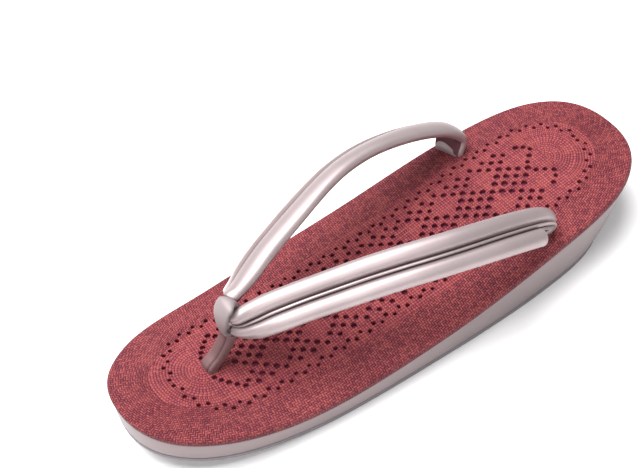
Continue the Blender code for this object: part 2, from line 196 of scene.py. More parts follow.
# What crowns add as painted highlight, each strand's own shade, short fibres and the middle add to the
# weave's lightness; its low end, between the strands, is painted shade
CROWN_LIGHT = 1.2
SHADE_LIGHT = 0.7
FUZZ_LIGHT = 0.5
FIELD_LIGHT = 0.24
BASE_LIGHT = -0.62

# Lip round each hole: where it is highest outside the rim, how wide and how high it is
LIP_PLACE = 0.00035
LIP_WIDTH = 0.0004
LIP_HEIGHT = 0.00012

# Walls of a hole, two steps down: drawn in toward the middle, and sunk, as shares
HOLE_STEPS = (
    # drawn in, sunk
    (0.10, 0.30),
    (0.06, 1.0),
)

# Ring of small holes round the tread: slightly waisted sides between two rounded ends
RING_TOE = -0.073
RING_HEEL = 0.078
RING_HALF_WIDTH = 0.0208
RING_WAIST = 0.0013
RING_LINE_GAP = 0.0018
RING_END_DEPTH = 0.0232
RING_PITCH = 0.00306
RING_TOE_SQUARENESS = 2.4

# Places worked one by one: the zigzag before the heel and the arch round the post, right half
ZIGZAG = (
    # across, along
    (0.0028, 0.0767),
    (0.0050, 0.0796),
    (0.0075, 0.0822),
    (0.0102, 0.0807),
    (0.0123, 0.0780),
)
ARCH = (
    # across, along
    (0.0055, -0.0818),
    (0.0077, -0.0803),
    (0.0098, -0.0784),
    (0.0121, -0.0762),
    (0.0143, -0.0738),
)

# Padding that swells and sinks along the rolls, and the gathers that run out of the knot
PAD_SWELL = 0.00007
PAD_PITCH = 0.047
PAD_OFFSET = 4.0
GATHER_REACH = 0.012
GATHER_DEPTH = 0.00012
GATHER_COUNT = 6

# Groove on both sides of the ridge, as wide as its painted shade, and the crest of the ridge, as shares of
# the width
GROOVE_WIDTH = 0.014
CREST_WIDTH = 0.032

# Fold of the left arm just above the loop: a sunk neck, and the pad puffed up beyond it
# NECK_END: place of the fold's edge, from the knot. NECK_SLANT: how far that edge runs along the arm
# over the width. NECK_MIDDLE: share of the depth in the middle of the width. NECK_NARROWING: how much
# the inner half is drawn in
NECK_END = 0.0100
NECK_DEPTH = 0.0026
NECK_MIDDLE = 0.75
NECK_SLANT = 0.0050
NECK_EDGE = 0.0006
NECK_NARROWING = 0.35
PUFF_HEIGHT = 0.0010
PUFF_REACH = 0.0030
# CREASE_WIDTH: width of the painted shade along the edge of the fold
CREASE_WIDTH = 0.0017

# Painted shade on the underside of the strap, as a dark matt colour, and the height of the pearl flap that
# covers its end
UNDERSIDE_SHADE_COLOUR = (0.11, 0.035, 0.045)
UNDERSIDE_SHADE_EDGE = 0.0003
UNDERSIDE_SHADE_HALF_WIDTH = 0.48
FLAP_HEIGHT = 0.0035

# Where the right arm's outer roll stops, back along the arm from its end in the sole, and how short the
# cut is. Beyond it the roll's skin lies under the ridge, at shares of the width and the thickness
ROLL_CUT = 0.028
CUT_LENGTH = 0.0007
STUB_PLACE = 0.055
STUB_HEIGHT = -0.35

# Left arm: how far its shape takes to change from the right arm's, and how far the ridge lies toward
# the outer edge, as a share of the width
LEFT_CHANGE = 0.012
ARM_SLIDE = 0.24

# Left arm: how much higher the ridge stands, and where that sets in and is full, from the arm's end
RIDGE_LIFT = 0.0015
RIDGE_SPAN = (0.030, 0.075)

# Left arm: how far the outer roll is pressed down to the back, near the sole and forward of SINK_SPAN.
# SINK_START is where that sets in and is full, from the knot
SINK_DEPTH = 0.60
SINK_EASING = 0.12
SINK_SPAN = (0.026, 0.070)
SINK_START = (0.005, 0.014)

# Where the strap begins to turn into the oval that fills the loop, and where it is that, from the knot
OVAL_SPAN = (0.0026, 0.0012)

# Pearl leathers. grain: how fine it is, and how deep. metal, coat: shares
LEATHERS = {
    # name: grain, grain depth, roughness, metal, coat
    "strap_pearl": (2100.0, 0.00003, 0.50, 0.70, 0.1),
    "loop_pearl": (2100.0, 0.00003, 0.60, 0.35, 0.0),
    "post_pearl_shaded": (2100.0, 0.00003, 0.52, 0.50, 0.0),
    "wall_pearl": (1500.0, 0.00012, 0.46, 0.35, 0.1),
}
# The loop's colour as a share of the strap's
LOOP_SHADE = 0.70

# Fineness of the meshes
COVER_STEP = 0.00055
ROLL_STEPS = 12
ROLL_START = math.radians(-41)
FAN_CENTRE = 0.084
SOLE_STEPS = 720
STRAP_STEPS = 260
SECTION_STEPS = 108
LOOP_STEPS = 96
POST_STEPS = 48
POST_COLUMNS = 64


def millimetres(value):
    """Return a size given in millimetres in metres."""
    return value / 1000


# What all lengths and all colours among the properties share
AS_LENGTH = {"subtype": "DISTANCE", "unit": "LENGTH"}
AS_COLOUR = {"subtype": "COLOR", "size": 3, "min": 0, "max": 1}


class ZoriSizes(bpy.types.PropertyGroup):
    """Sizes of the fine work on the sandal."""

    strand: bpy.props.FloatProperty(
        name="Strand", description="Width of one woven strand of the field", default=millimetres(1.15),
        min=millimetres(0.5), max=millimetres(4), **AS_LENGTH,
    )
    hole_radius: bpy.props.FloatProperty(
        name="Openwork hole", description="Radius of a hole in the diamonds", default=millimetres(1.3),
        min=millimetres(0.5), max=millimetres(1.4), **AS_LENGTH,
    )
    ring_hole_radius: bpy.props.FloatProperty(
        name="Ring hole", description="Radius of a hole in the ring", default=millimetres(0.85),
        min=millimetres(0.4), max=millimetres(1.2), **AS_LENGTH,
    )
    border_width: bpy.props.FloatProperty(
        name="Border", description="Width of the twill border round the tread", default=millimetres(18),
        min=millimetres(5), max=millimetres(25), **AS_LENGTH,
    )
    lens: bpy.props.FloatProperty(
        name="Lens", description="Focal length of the camera in millimetres", default=67.906,
        min=20, max=200,
    )


class ZoriColours(bpy.types.PropertyGroup):
    """Colours of the sandal's materials."""

    strand_light: bpy.props.FloatVectorProperty(
        name="Strand, lit", description="Colour on the crown of a woven strand",
        default=(0.315, 0.052, 0.070), **AS_COLOUR,
    )
    strand_warm: bpy.props.FloatVectorProperty(
        name="Strand, warm", description="Colour of the more orange strands",
        default=(0.325, 0.064, 0.062), **AS_COLOUR,
    )
    # Painted shade between the strands; the painted shade of the cloud and of the rolled edge also goes to
    # it
    strand_shaded: bpy.props.FloatVectorProperty(
        name="Strand, deep", description="Colour between the woven strands",
        default=(0.085, 0.008, 0.016), **AS_COLOUR,
    )
    pad: bpy.props.FloatVectorProperty(
        name="Pad", description="Cloth under the openwork",
        default=(0.12, 0.013, 0.030), **AS_COLOUR,
    )
    strap: bpy.props.FloatVectorProperty(
        name="Strap", description="Pearl leather of the strap",
        default=(0.440, 0.362, 0.368), **AS_COLOUR,
    )
    # The post's colour is the strap's pearl darkened as painted shade, with a painted red reflection of the
    # tread
    post: bpy.props.FloatVectorProperty(
        name="Toe post", description="Duller pearl of the post under the loop",
        default=(0.21, 0.118, 0.122), **AS_COLOUR,
    )
    wall: bpy.props.FloatVectorProperty(
        name="Side wall", description="Pearl covering of the wedge",
        default=(0.240, 0.188, 0.193), **AS_COLOUR,
    )
    outsole: bpy.props.FloatVectorProperty(
        name="Outsole", description="Rubber under the sandal",
        default=(0.20, 0.175, 0.19), **AS_COLOUR,
    )
    floor: bpy.props.FloatVectorProperty(
        name="Floor", description="Pale floor",
        default=(0.92, 0.92, 0.92), **AS_COLOUR,
    )


def read_table(table, places, level_ends=False):
    """Read a table at many places, on a curve that is smooth through all of its rows.

    The first column holds the rows' places. Each stretch is a cubic whose slopes come from the rows on
    both sides. With level_ends the curve starts and ends level, as where it meets its own mirror image.
    """
    rows = np.array(table, dtype=float)
    keys = rows[:, 0]
    values = rows[:, 1:]
    slopes = np.gradient(values, keys, axis=0)
    if level_ends:
        slopes[0] = 0.0
        slopes[-1] = 0.0
    places = np.asarray(places, dtype=float)
    k = np.clip(np.searchsorted(keys, places) - 1, 0, len(keys) - 2)
    span = (keys[k + 1] - keys[k])[..., None]
    s = (places - keys[k])[..., None] / span
    return (
        (2 * s**3 - 3 * s**2 + 1) * values[k]
        + (s**3 - 2 * s**2 + s) * span * slopes[k]
        + (3 * s**2 - 2 * s**3) * values[k + 1]
        + (s**3 - s**2) * span * slopes[k + 1]
    )


def smooth_step(low, high, value):
    """0 below low, 1 above high, and an S curve between."""
    t = np.clip((value - low) / (high - low), 0, 1)
    return t * t * (3 - 2 * t)


def bell(value, width):
    """1 where the value is nought, falling off to both sides as a bell of the given width."""
    return np.exp(-((value / width) ** 2))


def half_width(turn):
    """Half width of the sandal: the table's fullness times the sine of the turn, to a power."""
    fullness = read_table(OUTLINE_ROWS, turn, level_ends=True)[..., 0]
    return HALF_WIDTH * fullness * np.maximum(np.sin(np.pi * turn), 0.0) ** TIP_ROUNDNESS


def edge_height(y):
    """Height of the cover's lower edge at places along the sandal."""
    turn = np.arccos(np.clip(-2 * y / LENGTH, -1, 1)) / np.pi
    return HEEL_EDGE_HEIGHT * read_table(OUTLINE_ROWS, turn, level_ends=True)[..., 1]


def tread_height(y):
    """Height of the tread's shoulder, where the rolled edge meets the top."""
    return edge_height(y) + COVER_EDGE_HEIGHT


def sole_height(y):
    """Height of the underside over the floor: flat, then rising as a square to the toe tip."""
    ahead = -2 * y / LENGTH
    return TOE_SPRING * np.maximum(0.0, (ahead - SPRING_START) / (1 - SPRING_START)) ** 2


def unit(vectors):
    """The same directions with length one."""
    return vectors / np.linalg.norm(vectors, axis=-1, keepdims=True)


def way_along(line):
    """Length of the way from the first point of a line to each of its points."""
    return np.concatenate([[0], np.cumsum(np.linalg.norm(np.diff(line, axis=0), axis=1))])


def points_at(line, way, at):
    """Points of a plan line at given lengths of its way."""
    return np.stack([np.interp(at, way, line[:, 0]), np.interp(at, way, line[:, 1])], axis=1)


def even_outline(count):
    """Plan outline as points an even way apart, from the toe tip round the right side.

    Returns the points, the outward normals and the way along the outline. The half width is worked out
    finely over the turn, joined with its mirror image, and read again at even steps of its length.
    """
    turn = np.linspace(0, 1, 4001)
    right = np.stack([half_width(turn), -LENGTH / 2 * np.cos(np.pi * turn)], axis=1)
    left = right[::-1][1:] * [-1, 1]
    closed = np.vstack([right, left])
    way = way_along(closed)
    at = np.arange(count) / count * way[-1]
    points = points_at(closed, way, at)
    ahead = np.roll(points, -1, axis=0) - np.roll(points, 1, axis=0)
    normal = unit(np.stack([ahead[:, 1], -ahead[:, 0]], axis=1))
    return points, normal, at


def closed_band(rows, columns, joined=False):
    """Quads between closed rings: rows rings of columns points each, one after the other.

    With joined the last ring meets the first.
    """
    r, c = np.meshgrid(np.arange(rows if joined else rows - 1), np.arange(columns), indexing="ij")
    near = r * columns
    far = (r + 1) % rows * columns
    ahead = (c + 1) % columns
    return np.stack([near + c, near + ahead, far + ahead, far + c], axis=-1)


def cap_across(first, columns):
    """Faces across a closed ring that is its own mirror image, from one side to the other."""
    k = np.arange(1, columns // 2 - 1)
    quads = np.stack([first + k, first + k + 1, first + columns - k - 1, first + columns - k], axis=-1)
    toe = [first, first + 1, first + columns - 1]
    heel = [first + columns // 2 - 1, first + columns // 2, first + columns // 2 + 1]
    return quads.tolist() + [toe, heel]


def capped_stack(rows, columns):
    """Quads of stacked outlines, closed at the bottom and the top by faces across."""
    faces = closed_band(rows, columns).reshape(-1, 4).tolist()
    return faces + cap_across(0, columns) + cap_across((rows - 1) * columns, columns)


def add_piece(name, points, faces, material, maps=(), values=(), replaced=(), merge=0.0, turn=0.0):
    """Make a mesh object from arrays, finish it smooth and let it ride on the sandal.

    maps: (name, one pair per point) kept as UV maps. values: (name, one number per point) kept as
    attributes. replaced: the solids that the piece stands for. turn: where the maps go round in a
    closed ring of quads, the length of one turn, so that the last faces go on past it.
    """
    mesh = bpy.data.meshes.new(name)
    mesh.from_pydata(np.asarray(points).tolist(), [], faces if isinstance(faces, list) else faces.tolist())
    loops = np.empty(len(mesh.loops), dtype=np.int32)
    mesh.loops.foreach_get("vertex_index", loops)
    for title, pairs in maps:
        layer = mesh.uv_layers.new(name=title)
        corners = np.asarray(pairs, dtype=np.float32)[loops]
        if turn:
            way = corners[:, 0].reshape(-1, 4)
            way += turn * (way.max(axis=1, keepdims=True) - way > turn / 2)
        layer.uv.foreach_set("vector", corners.ravel())
    for title, numbers in values:
        attribute = mesh.attributes.new(title, "FLOAT", "POINT")
        attribute.data.foreach_set("value", np.asarray(numbers, dtype=np.float32))
    work = bmesh.new()
    work.from_mesh(mesh)
    if merge:
        bmesh.ops.remove_doubles(work, verts=work.verts, dist=merge)
    loose = [v for v in work.verts if not v.link_faces]
    bmesh.ops.delete(work, geom=loose, context="VERTS")
    bmesh.ops.recalc_face_normals(work, faces=work.faces)
    work.to_mesh(mesh)
    work.free()
    mesh.polygons.foreach_set("use_smooth", np.ones(len(mesh.polygons), dtype=bool))
    mesh.materials.append(material)
    piece = bpy.data.objects.new(name, mesh)
    bpy.context.scene.collection.objects.link(piece)
    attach(piece, "root")
    if replaced:
        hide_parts(*replaced)
    return piece


# Shader helpers


class Nodes:
    """Short ways to add nodes to one tree and link them."""

    def __init__(self, tree):
        self.tree = tree

    def add(self, kind, **settings):
        node = self.tree.nodes.new(kind)
        for key, value in settings.items():
            setattr(node, key, value)
        return node

    def plug(self, socket, value):
        if isinstance(value, bpy.types.NodeSocket):
            self.tree.links.new(value, socket)
        else:
            socket.default_value = value

    def maths(self, operation, *values, clamp=False):
        node = self.add("ShaderNodeMath", operation=operation, use_clamp=clamp)
        for socket, value in zip(node.inputs, values):
            self.plug(socket, value)
        return node.outputs[0]

    def plus(self, one, other):
        return self.maths("ADD", one, other)

    def minus(self, one, other):
        return self.maths("SUBTRACT", one, other)

    def times(self, one, other):
        return self.maths("MULTIPLY", one, other)

    def over(self, one, other):
        return self.maths("DIVIDE", one, other)

    def times_plus(self, one, factor, more, clamp=False):
        return self.maths("MULTIPLY_ADD", one, factor, more, clamp=clamp)

    def half_wave(self, value):
        """Sine that is nought at 0 and 1 and 1 half way between."""
        return self.maths("SINE", self.times(value, math.pi))

    def mix(self, factor, low, high):
        """A number between low and high."""
        node = self.add("ShaderNodeMix", data_type="FLOAT")
        self.plug(node.inputs[0], factor)
        self.plug(node.inputs[2], low)
        self.plug(node.inputs[3], high)
        return node.outputs[0]

    def blend(self, factor, low, high):
        """A colour between low and high."""
        node = self.add("ShaderNodeMix", data_type="RGBA")
        self.plug(node.inputs[0], factor)
        self.plug(node.inputs[6], low)
        self.plug(node.inputs[7], high)
        return node.outputs[2]

    def spread(self, value, low, high, to_low=0.0, to_high=1.0):
        """Map a range smoothly onto another."""
        node = self.add("ShaderNodeMapRange", interpolation_type="SMOOTHSTEP")
        for socket, number in zip(node.inputs, (value, low, high, to_low, to_high)):
            self.plug(socket, number)
        return node.outputs[0]

    def noise(self, vector, scale, detail=2.0, roughness=0.5):
        node = self.add("ShaderNodeTexNoise")
        self.plug(node.inputs["Vector"], vector)
        self.plug(node.inputs["Scale"], scale)
        self.plug(node.inputs["Detail"], detail)
        self.plug(node.inputs["Roughness"], roughness)
        return node.outputs["Fac"]

    def split(self, vector):
        node = self.add("ShaderNodeSeparateXYZ")
        self.plug(node.inputs[0], vector)
        return node.outputs[0], node.outputs[1], node.outputs[2]

    def join(self, x, y, z=0.0):
        node = self.add("ShaderNodeCombineXYZ")
        for socket, value in zip(node.inputs, (x, y, z)):
            self.plug(socket, value)
        return node.outputs[0]

    def place(self):
        return self.add("ShaderNodeTexCoord").outputs["Object"]

    def uv(self, name):
        return self.add("ShaderNodeUVMap", uv_map=name).outputs[0]

    def attribute(self, name):
        return self.add("ShaderNodeAttribute", attribute_name=name).outputs["Fac"]

    def group(self, made, **values):
        node = self.add("ShaderNodeGroup", node_tree=made)
        for key, value in values.items():
            self.plug(node.inputs[key], value)
        return node.outputs


def new_group(name, inputs, outputs):
    """Start a shader node group. inputs and outputs are (name, socket type) pairs."""
    tree = bpy.data.node_groups.new(name, "ShaderNodeTree")
    for title, kind in inputs:
        tree.interface.new_socket(title, in_out="INPUT", socket_type=kind)
    for title, kind in outputs:
        tree.interface.new_socket(title, in_out="OUTPUT", socket_type=kind)
    nodes = Nodes(tree)
    given = nodes.add("NodeGroupInput").outputs
    result = nodes.add("NodeGroupOutput").inputs
    return nodes, given, result


def weave_group():
    """Group for woven strands: crossing cells that stand up as pillows, long across or long along.

    A cell is one strand wide. Its number across plus its number along, counted in floats of the given
    length, says which strand lies on top. The pillow is a sine across the strand on top, to a power
    below one, and sinks by half toward the ends of its float. Shade is a random number for every five
    cells of a strand.
    """
    found = bpy.data.node_groups.get("woven strands")
    if found:
        return found
    nodes, given, result = new_group(
        "woven strands",
        [("Across", "NodeSocketFloat"), ("Along", "NodeSocketFloat"), ("Float", "NodeSocketFloat")],
        [("Height", "NodeSocketFloat"), ("Shade", "NodeSocketFloat")],
    )
    u, v, length = (given[title] for title in ("Across", "Along", "Float"))
    column = nodes.maths("FLOOR", u)
    row = nodes.maths("FLOOR", v)
    step = nodes.maths("FLOORED_MODULO", nodes.plus(column, row), nodes.times(length, 2.0))
    over = nodes.maths("LESS_THAN", step, length)
    in_u = nodes.maths("FRACT", u)
    in_v = nodes.maths("FRACT", v)

    def pillow(crosswise, lengthwise, cells):
        """Height of the strand on top, which is so many cells along its float and dips only at its ends."""
        share = nodes.over(nodes.plus(cells, lengthwise), length)
        lift = nodes.times_plus(nodes.maths("ABSOLUTE", nodes.half_wave(share)), 0.5, 0.5)
        return nodes.times(nodes.maths("POWER", nodes.half_wave(crosswise), 0.6), lift)

    along_top = pillow(in_u, in_v, step)
    across_top = pillow(in_v, in_u, nodes.minus(step, length))
    nodes.plug(result["Height"], nodes.mix(over, across_top, along_top))
    white = nodes.add("ShaderNodeTexWhiteNoise", noise_dimensions="2D")
    # Rows are numbered far from the columns, so that the two do not share their shades
    strand = nodes.mix(over, nodes.plus(row, 71.0), column)
    part = nodes.maths("FLOOR", nodes.over(nodes.mix(over, column, row), 5.0))
    nodes.plug(white.inputs["Vector"], nodes.join(strand, part))
    nodes.plug(result["Shade"], white.outputs["Value"])
    return nodes.tree


def grain_group():
    """Group for leather grain: small raised pebbles from two noises, and a slow change of tone."""
    found = bpy.data.node_groups.get("leather grain")
    if found:
        return found
    nodes, given, result = new_group(
        "leather grain",
        [("Place", "NodeSocketVector"), ("Scale", "NodeSocketFloat")],
        [("Height", "NodeSocketFloat"), ("Tone", "NodeSocketFloat")],
    )
    fine = nodes.noise(given["Place"], given["Scale"], detail=3.0)
    coarse = nodes.noise(given["Place"], nodes.times(given["Scale"], 0.31), detail=2.0)
    nodes.plug(result["Height"], nodes.times_plus(fine, 0.6, nodes.times(coarse, 0.4)))
    slow = nodes.noise(given["Place"], nodes.times(given["Scale"], 0.02), detail=2.0)
    nodes.plug(result["Tone"], slow)
    return nodes.tree


def start_material(name, roughness, metallic=0.0, coat=0.0, coat_roughness=0.3, sheen=0.0):
    """Material with a Principled shader whose plain values are set on its own sockets."""
    material = bpy.data.materials.new(name)
    material.use_nodes = True
    nodes = Nodes(material.node_tree)
    shader = material.node_tree.nodes["Principled BSDF"]
    for title, value in (
        ("Roughness", roughness), ("Metallic", metallic), ("Coat Weight", coat),
        ("Coat Roughness", coat_roughness), ("Sheen Weight", sheen),
    ):
        shader.inputs[title].default_value = value
    return material, nodes, shader


def add_bump(nodes, shader, height, strength, distance):
    """Feed a height to the shader's normal."""
    bump = nodes.add("ShaderNodeBump")
    bump.inputs["Strength"].default_value = strength
    bump.inputs["Distance"].default_value = distance
    nodes.plug(bump.inputs["Height"], height)
    nodes.plug(shader.inputs["Normal"], bump.outputs["Normal"])


def shade_of(colour, factor):
    """A colour made darker or lighter."""
    return tuple(min(1.0, channel * factor) for channel in colour)


def rgba(colour, factor=1.0):
    """A colour for a socket, darker or lighter where a factor is given."""
    return (*shade_of(colour, factor), 1.0)


def cover_material(sizes, colours):
    """Woven strands: twill round the border, plain weave in the middle, and rings of it at both ends.

    The border's weave follows the outline. In the rings the number of strands halves toward their
    centre, so that the strands keep their width, and each ring is turned by its own random share of one.

    The colour goes from painted shade between the strands to a painted highlight on their crowns, with a
    lightness that sums the pillow's height, each strand's own shade, short fibres and whether it is in
    the middle. A slow cloud of painted uneven shade and painted shade on the rolled edge darken it, and
    down a hole and under the roll it turns to the pad's colour as painted shade.
    """
    material, nodes, shader = start_material("woven_strands", roughness=0.55)
    shader.inputs["Specular IOR Level"].default_value = 0.3
    round_way, inward, _ = nodes.split(nodes.uv("border"))
    across, along, _ = nodes.split(nodes.uv("field"))
    pitch = sizes.strand
    border_pitch = pitch * BORDER_FINENESS
    place = nodes.place()
    slip = nodes.times_plus(nodes.noise(place, 240.0, detail=1.0), 0.5, -0.25)

    def strands(way, width):
        return nodes.plus(nodes.over(way, width), slip)

    def weave(number_across, number_along, length):
        return nodes.group(weave_group(), Across=number_across, Along=number_along, Float=length)

    border = weave(strands(round_way, border_pitch), strands(inward, border_pitch), 2.0)
    field = weave(strands(across, pitch), strands(along, pitch), 1.0)
    beyond = nodes.minus(nodes.maths("ABSOLUTE", along), FAN_CENTRE)
    radius = nodes.maths("SQRT", nodes.plus(*[nodes.maths("POWER", way, 2.0) for way in (across, beyond)]))
    ratio = nodes.over(nodes.maths("MAXIMUM", radius, millimetres(1)), FULL_RING)
    halving = nodes.maths("ROUND", nodes.maths("LOGARITHM", ratio, 2.0))
    count = nodes.times(nodes.maths("POWER", 2.0, halving), FULL_RING / pitch)
    turn = nodes.add("ShaderNodeTexWhiteNoise", noise_dimensions="1D")
    nodes.plug(turn.inputs["W"], nodes.maths("FLOOR", nodes.over(radius, pitch)))
    angle = nodes.maths("ARCTAN2", across, beyond)
    ringed = weave(nodes.times_plus(angle, count, turn.outputs["Value"]), strands(radius, pitch), 1.0)
    inside = nodes.maths("GREATER_THAN", inward, sizes.border_width)
    at_end = nodes.maths("GREATER_THAN", beyond, 0.0)
    height, shade = (
        nodes.mix(inside, border[title], nodes.mix(at_end, field[title], ringed[title]))
        for title in ("Height", "Shade")
    )
    fuzz = nodes.noise(place, 2400.0, detail=2.0)
    shade_cloud = nodes.noise(place, 34.0, detail=2.0)
    light = nodes.times_plus(height, CROWN_LIGHT, nodes.times_plus(shade, SHADE_LIGHT, BASE_LIGHT))
    light = nodes.plus(light, nodes.times_plus(fuzz, FUZZ_LIGHT, -FUZZ_LIGHT / 2))
    light = nodes.times_plus(inside, FIELD_LIGHT, light, clamp=True)
    lit = nodes.blend(shade, rgba(colours.strand_light), rgba(colours.strand_warm))
    # Painted shade between the strands and a painted highlight on their crowns
    colour = nodes.blend(light, rgba(colours.strand_shaded), lit)
    # A slow cloud of painted uneven shade
    colour = nodes.blend(nodes.spread(shade_cloud, 0.4, 0.7, 0.0, 0.22), colour, rgba(colours.strand_shaded))
    # Painted shade on the rolled edge, which faces away from the light
    rolled_edge_shade = nodes.spread(inward, 0.0, millimetres(3.4), 0.85, 0.0)
    colour = nodes.blend(rolled_edge_shade, colour, rgba(colours.strand_shaded, 1.15))
    depth = nodes.attribute("depth")
    # Down a hole's wall and under the rolled edge the colour turns to the pad's, as painted shade
    colour = nodes.blend(nodes.spread(depth, 0.0, 0.6), colour, rgba(colours.pad, 1.6))
    nodes.plug(shader.inputs["Base Color"], colour)
    nodes.plug(shader.inputs["Roughness"], nodes.mix(height, 0.66, 0.44))
    relief = nodes.times_plus(fuzz, 0.15, nodes.times(height, nodes.minus(1.0, depth)))
    add_bump(nodes, shader, relief, 1.0, STRAND_HEIGHT)
    return material


def pad_material(colours):
    """Dark cloth under the openwork, with a fine nap."""
    material, nodes, shader = start_material("pad_cloth", roughness=0.9, sheen=0.1)
    place = nodes.place()
    nap = nodes.noise(place, 1900.0, detail=3.0)
    nodes.plug(shader.inputs["Base Color"], nodes.blend(
        nap, rgba(colours.pad, 0.7), rgba(colours.pad, 1.5)))
    nodes.plug(shader.inputs["Roughness"], nodes.mix(nap, 0.82, 0.96))
    add_bump(nodes, shader, nap, 0.5, millimetres(0.15))
    return material


def pearl_material(name, colour):
    """Pearl leather: metallic satin with a fine grain, duller in its folds and darkened there as painted
    shade.

    Where the attribute for the underside is above nought it turns to a dark matt colour, painted shade.
    Both attributes are nought on pieces that have none.
    """
    grain_scale, grain_depth, roughness, metal, coat = LEATHERS[name]
    material, nodes, shader = start_material(name, roughness, metal, coat, coat_roughness=0.28)
    grain = nodes.group(grain_group(), Place=nodes.place(), Scale=grain_scale)
    fold_shade = nodes.attribute("fold_shade")
    tone = nodes.blend(nodes.spread(grain["Tone"], 0.35, 0.65), rgba(colour, 0.93), rgba(colour, 1.05))
    speck = nodes.times_plus(grain["Height"], 0.5, -0.1, clamp=True)
    tone = nodes.blend(speck, tone, rgba(colour, 1.12))
    # Painted shade in the folds
    tone = nodes.blend(nodes.times(fold_shade, 0.75), tone, rgba(colour, 0.24))
    # Painted shade on the underside of the strap: a dark matt colour in place of the pearl
    underside_shade = nodes.spread(nodes.attribute("underside_shade"), 0.0, UNDERSIDE_SHADE_EDGE)
    nodes.plug(shader.inputs["Base Color"], nodes.blend(underside_shade, tone, rgba(UNDERSIDE_SHADE_COLOUR)))
    nodes.plug(shader.inputs["Metallic"], nodes.mix(underside_shade, metal, 0.0))
    dull = nodes.maths("MAXIMUM", nodes.times(fold_shade, 0.15), nodes.times(underside_shade, 0.5))
    grained = nodes.mix(grain["Height"], roughness - 0.05, roughness + 0.07)
    nodes.plug(shader.inputs["Roughness"], nodes.plus(grained, dull))
    add_bump(nodes, shader, grain["Height"], 0.4, grain_depth)
    return material


def rubber_material(colours):
    """Matt rubber of the outsole, with a crossed tread pattern underneath."""
    material, nodes, shader = start_material("outsole_rubber", roughness=0.7)
    place = nodes.place()
    x, y, _ = nodes.split(place)
    up = nodes.plus(x, y)
    down = nodes.minus(x, y)
    tread = nodes.maths("MAXIMUM", *[
        nodes.maths("SINE", nodes.times(way, 2 * math.pi / millimetres(5))) for way in (up, down)
    ])
    grain = nodes.noise(place, 1500.0, detail=3.0)
    nodes.plug(shader.inputs["Base Color"], nodes.blend(
        grain, rgba(colours.outsole, 0.8), rgba(colours.outsole, 1.25)))
    nodes.plug(shader.inputs["Roughness"], nodes.mix(grain, 0.6, 0.8))
    under = nodes.spread(nodes.attribute("under"), 0.4, 0.6)
    height = nodes.times_plus(nodes.times(tread, under), 0.8, grain)
    add_bump(nodes, shader, height, 0.6, millimetres(0.35))
    return material


# Woven cover


def ring_places():
    """Holes of the ring: two parallel lines round the tread, taken in turn, so they make a zigzag.

    The middle line has waisted sides and half an oval at each end; the toe's oval has fuller corners.
    Each hole lies half the lines' gap to one side of it.
    """
    turn = np.linspace(0, np.pi / 2, 400)
    corner = 2 / RING_TOE_SQUARENESS
    toe = np.stack([
        RING_HALF_WIDTH * np.sin(turn) ** corner, RING_TOE - RING_END_DEPTH * np.cos(turn) ** corner,
    ], axis=1)
    heel = np.stack([RING_HALF_WIDTH * np.cos(turn), RING_HEEL + RING_END_DEPTH * np.sin(turn)], axis=1)
    side = np.linspace(0, 1, 400)[1:-1]
    waist = RING_HALF_WIDTH - RING_WAIST * np.sin(np.pi * side) ** 2
    sides = np.stack([waist, RING_TOE + (RING_HEEL - RING_TOE) * side], axis=1)
    line = np.vstack([toe, sides, heel])
    way = way_along(line)
    count = int(round(way[-1] / RING_PITCH))
    at = (np.arange(count) + 0.5) * way[-1] / count
    points = points_at(line, way, at)
    ahead = np.gradient(points, axis=0)
    normal = unit(np.stack([ahead[:, 1], -ahead[:, 0]], axis=1))
    points += normal * np.where(np.arange(count) % 2 == 0, 0.5, -0.5)[:, None] * RING_LINE_GAP
    return [(sign * x, y) for x, y in points for sign in (1, -1)]


def field_places():
    """Holes of the field: touching diamonds down the middle, and a lattice on both flanks.

    Each is a place across, a place along and a share of the full radius.
    """
    places = []
    for row in FIELD_ROWS:
        y = row * HOLE_PITCH_ALONG
        within = row % DIAMOND_ROWS
        reach = min(within, DIAMOND_ROWS - within)
        full = FULL_BAND[0] < y < FULL_BAND[1]
        for step in range(-EDGE_STEP, EDGE_STEP + 1):
            if (step + row) % 2:
                continue
            size = abs(step)
            middle = size <= reach
            flank = DIAMOND_ROWS - reach <= size <= FLANK_STEP
            edge = size == EDGE_STEP and within % 2 == 0 and y < FULL_BAND[1]
            if middle or flank or edge or full:
                wide = 1.0 if middle else OUTER_HOLE_SHARE
                places.append((step * HOLE_PITCH_ACROSS, y, wide))
    return places


def hole_table(sizes):
    """All holes of the tread as rows of x, y and radius. Places and radii are a little uneven."""
    rows = [(x, y, sizes.hole_radius * wide) for x, y, wide in field_places()]
    rows += [(x, y, sizes.ring_hole_radius) for x, y in ring_places()]
    worked = ZIGZAG + ARCH
    rows += [(sign * x, y, sizes.hole_radius * OUTER_HOLE_SHARE) for x, y in worked for sign in (1, -1)]
    table = np.array(rows)
    number = np.arange(len(table))
    across, along, size = (np.sin(number * step + phase) for phase, step in enumerate(UNEVEN_STEPS))
    table[:, 0] += UNEVEN_PLACE * across
    table[:, 1] += UNEVEN_PLACE * along
    table[:, 2] *= 1 + UNEVEN_RADIUS * size
    return table


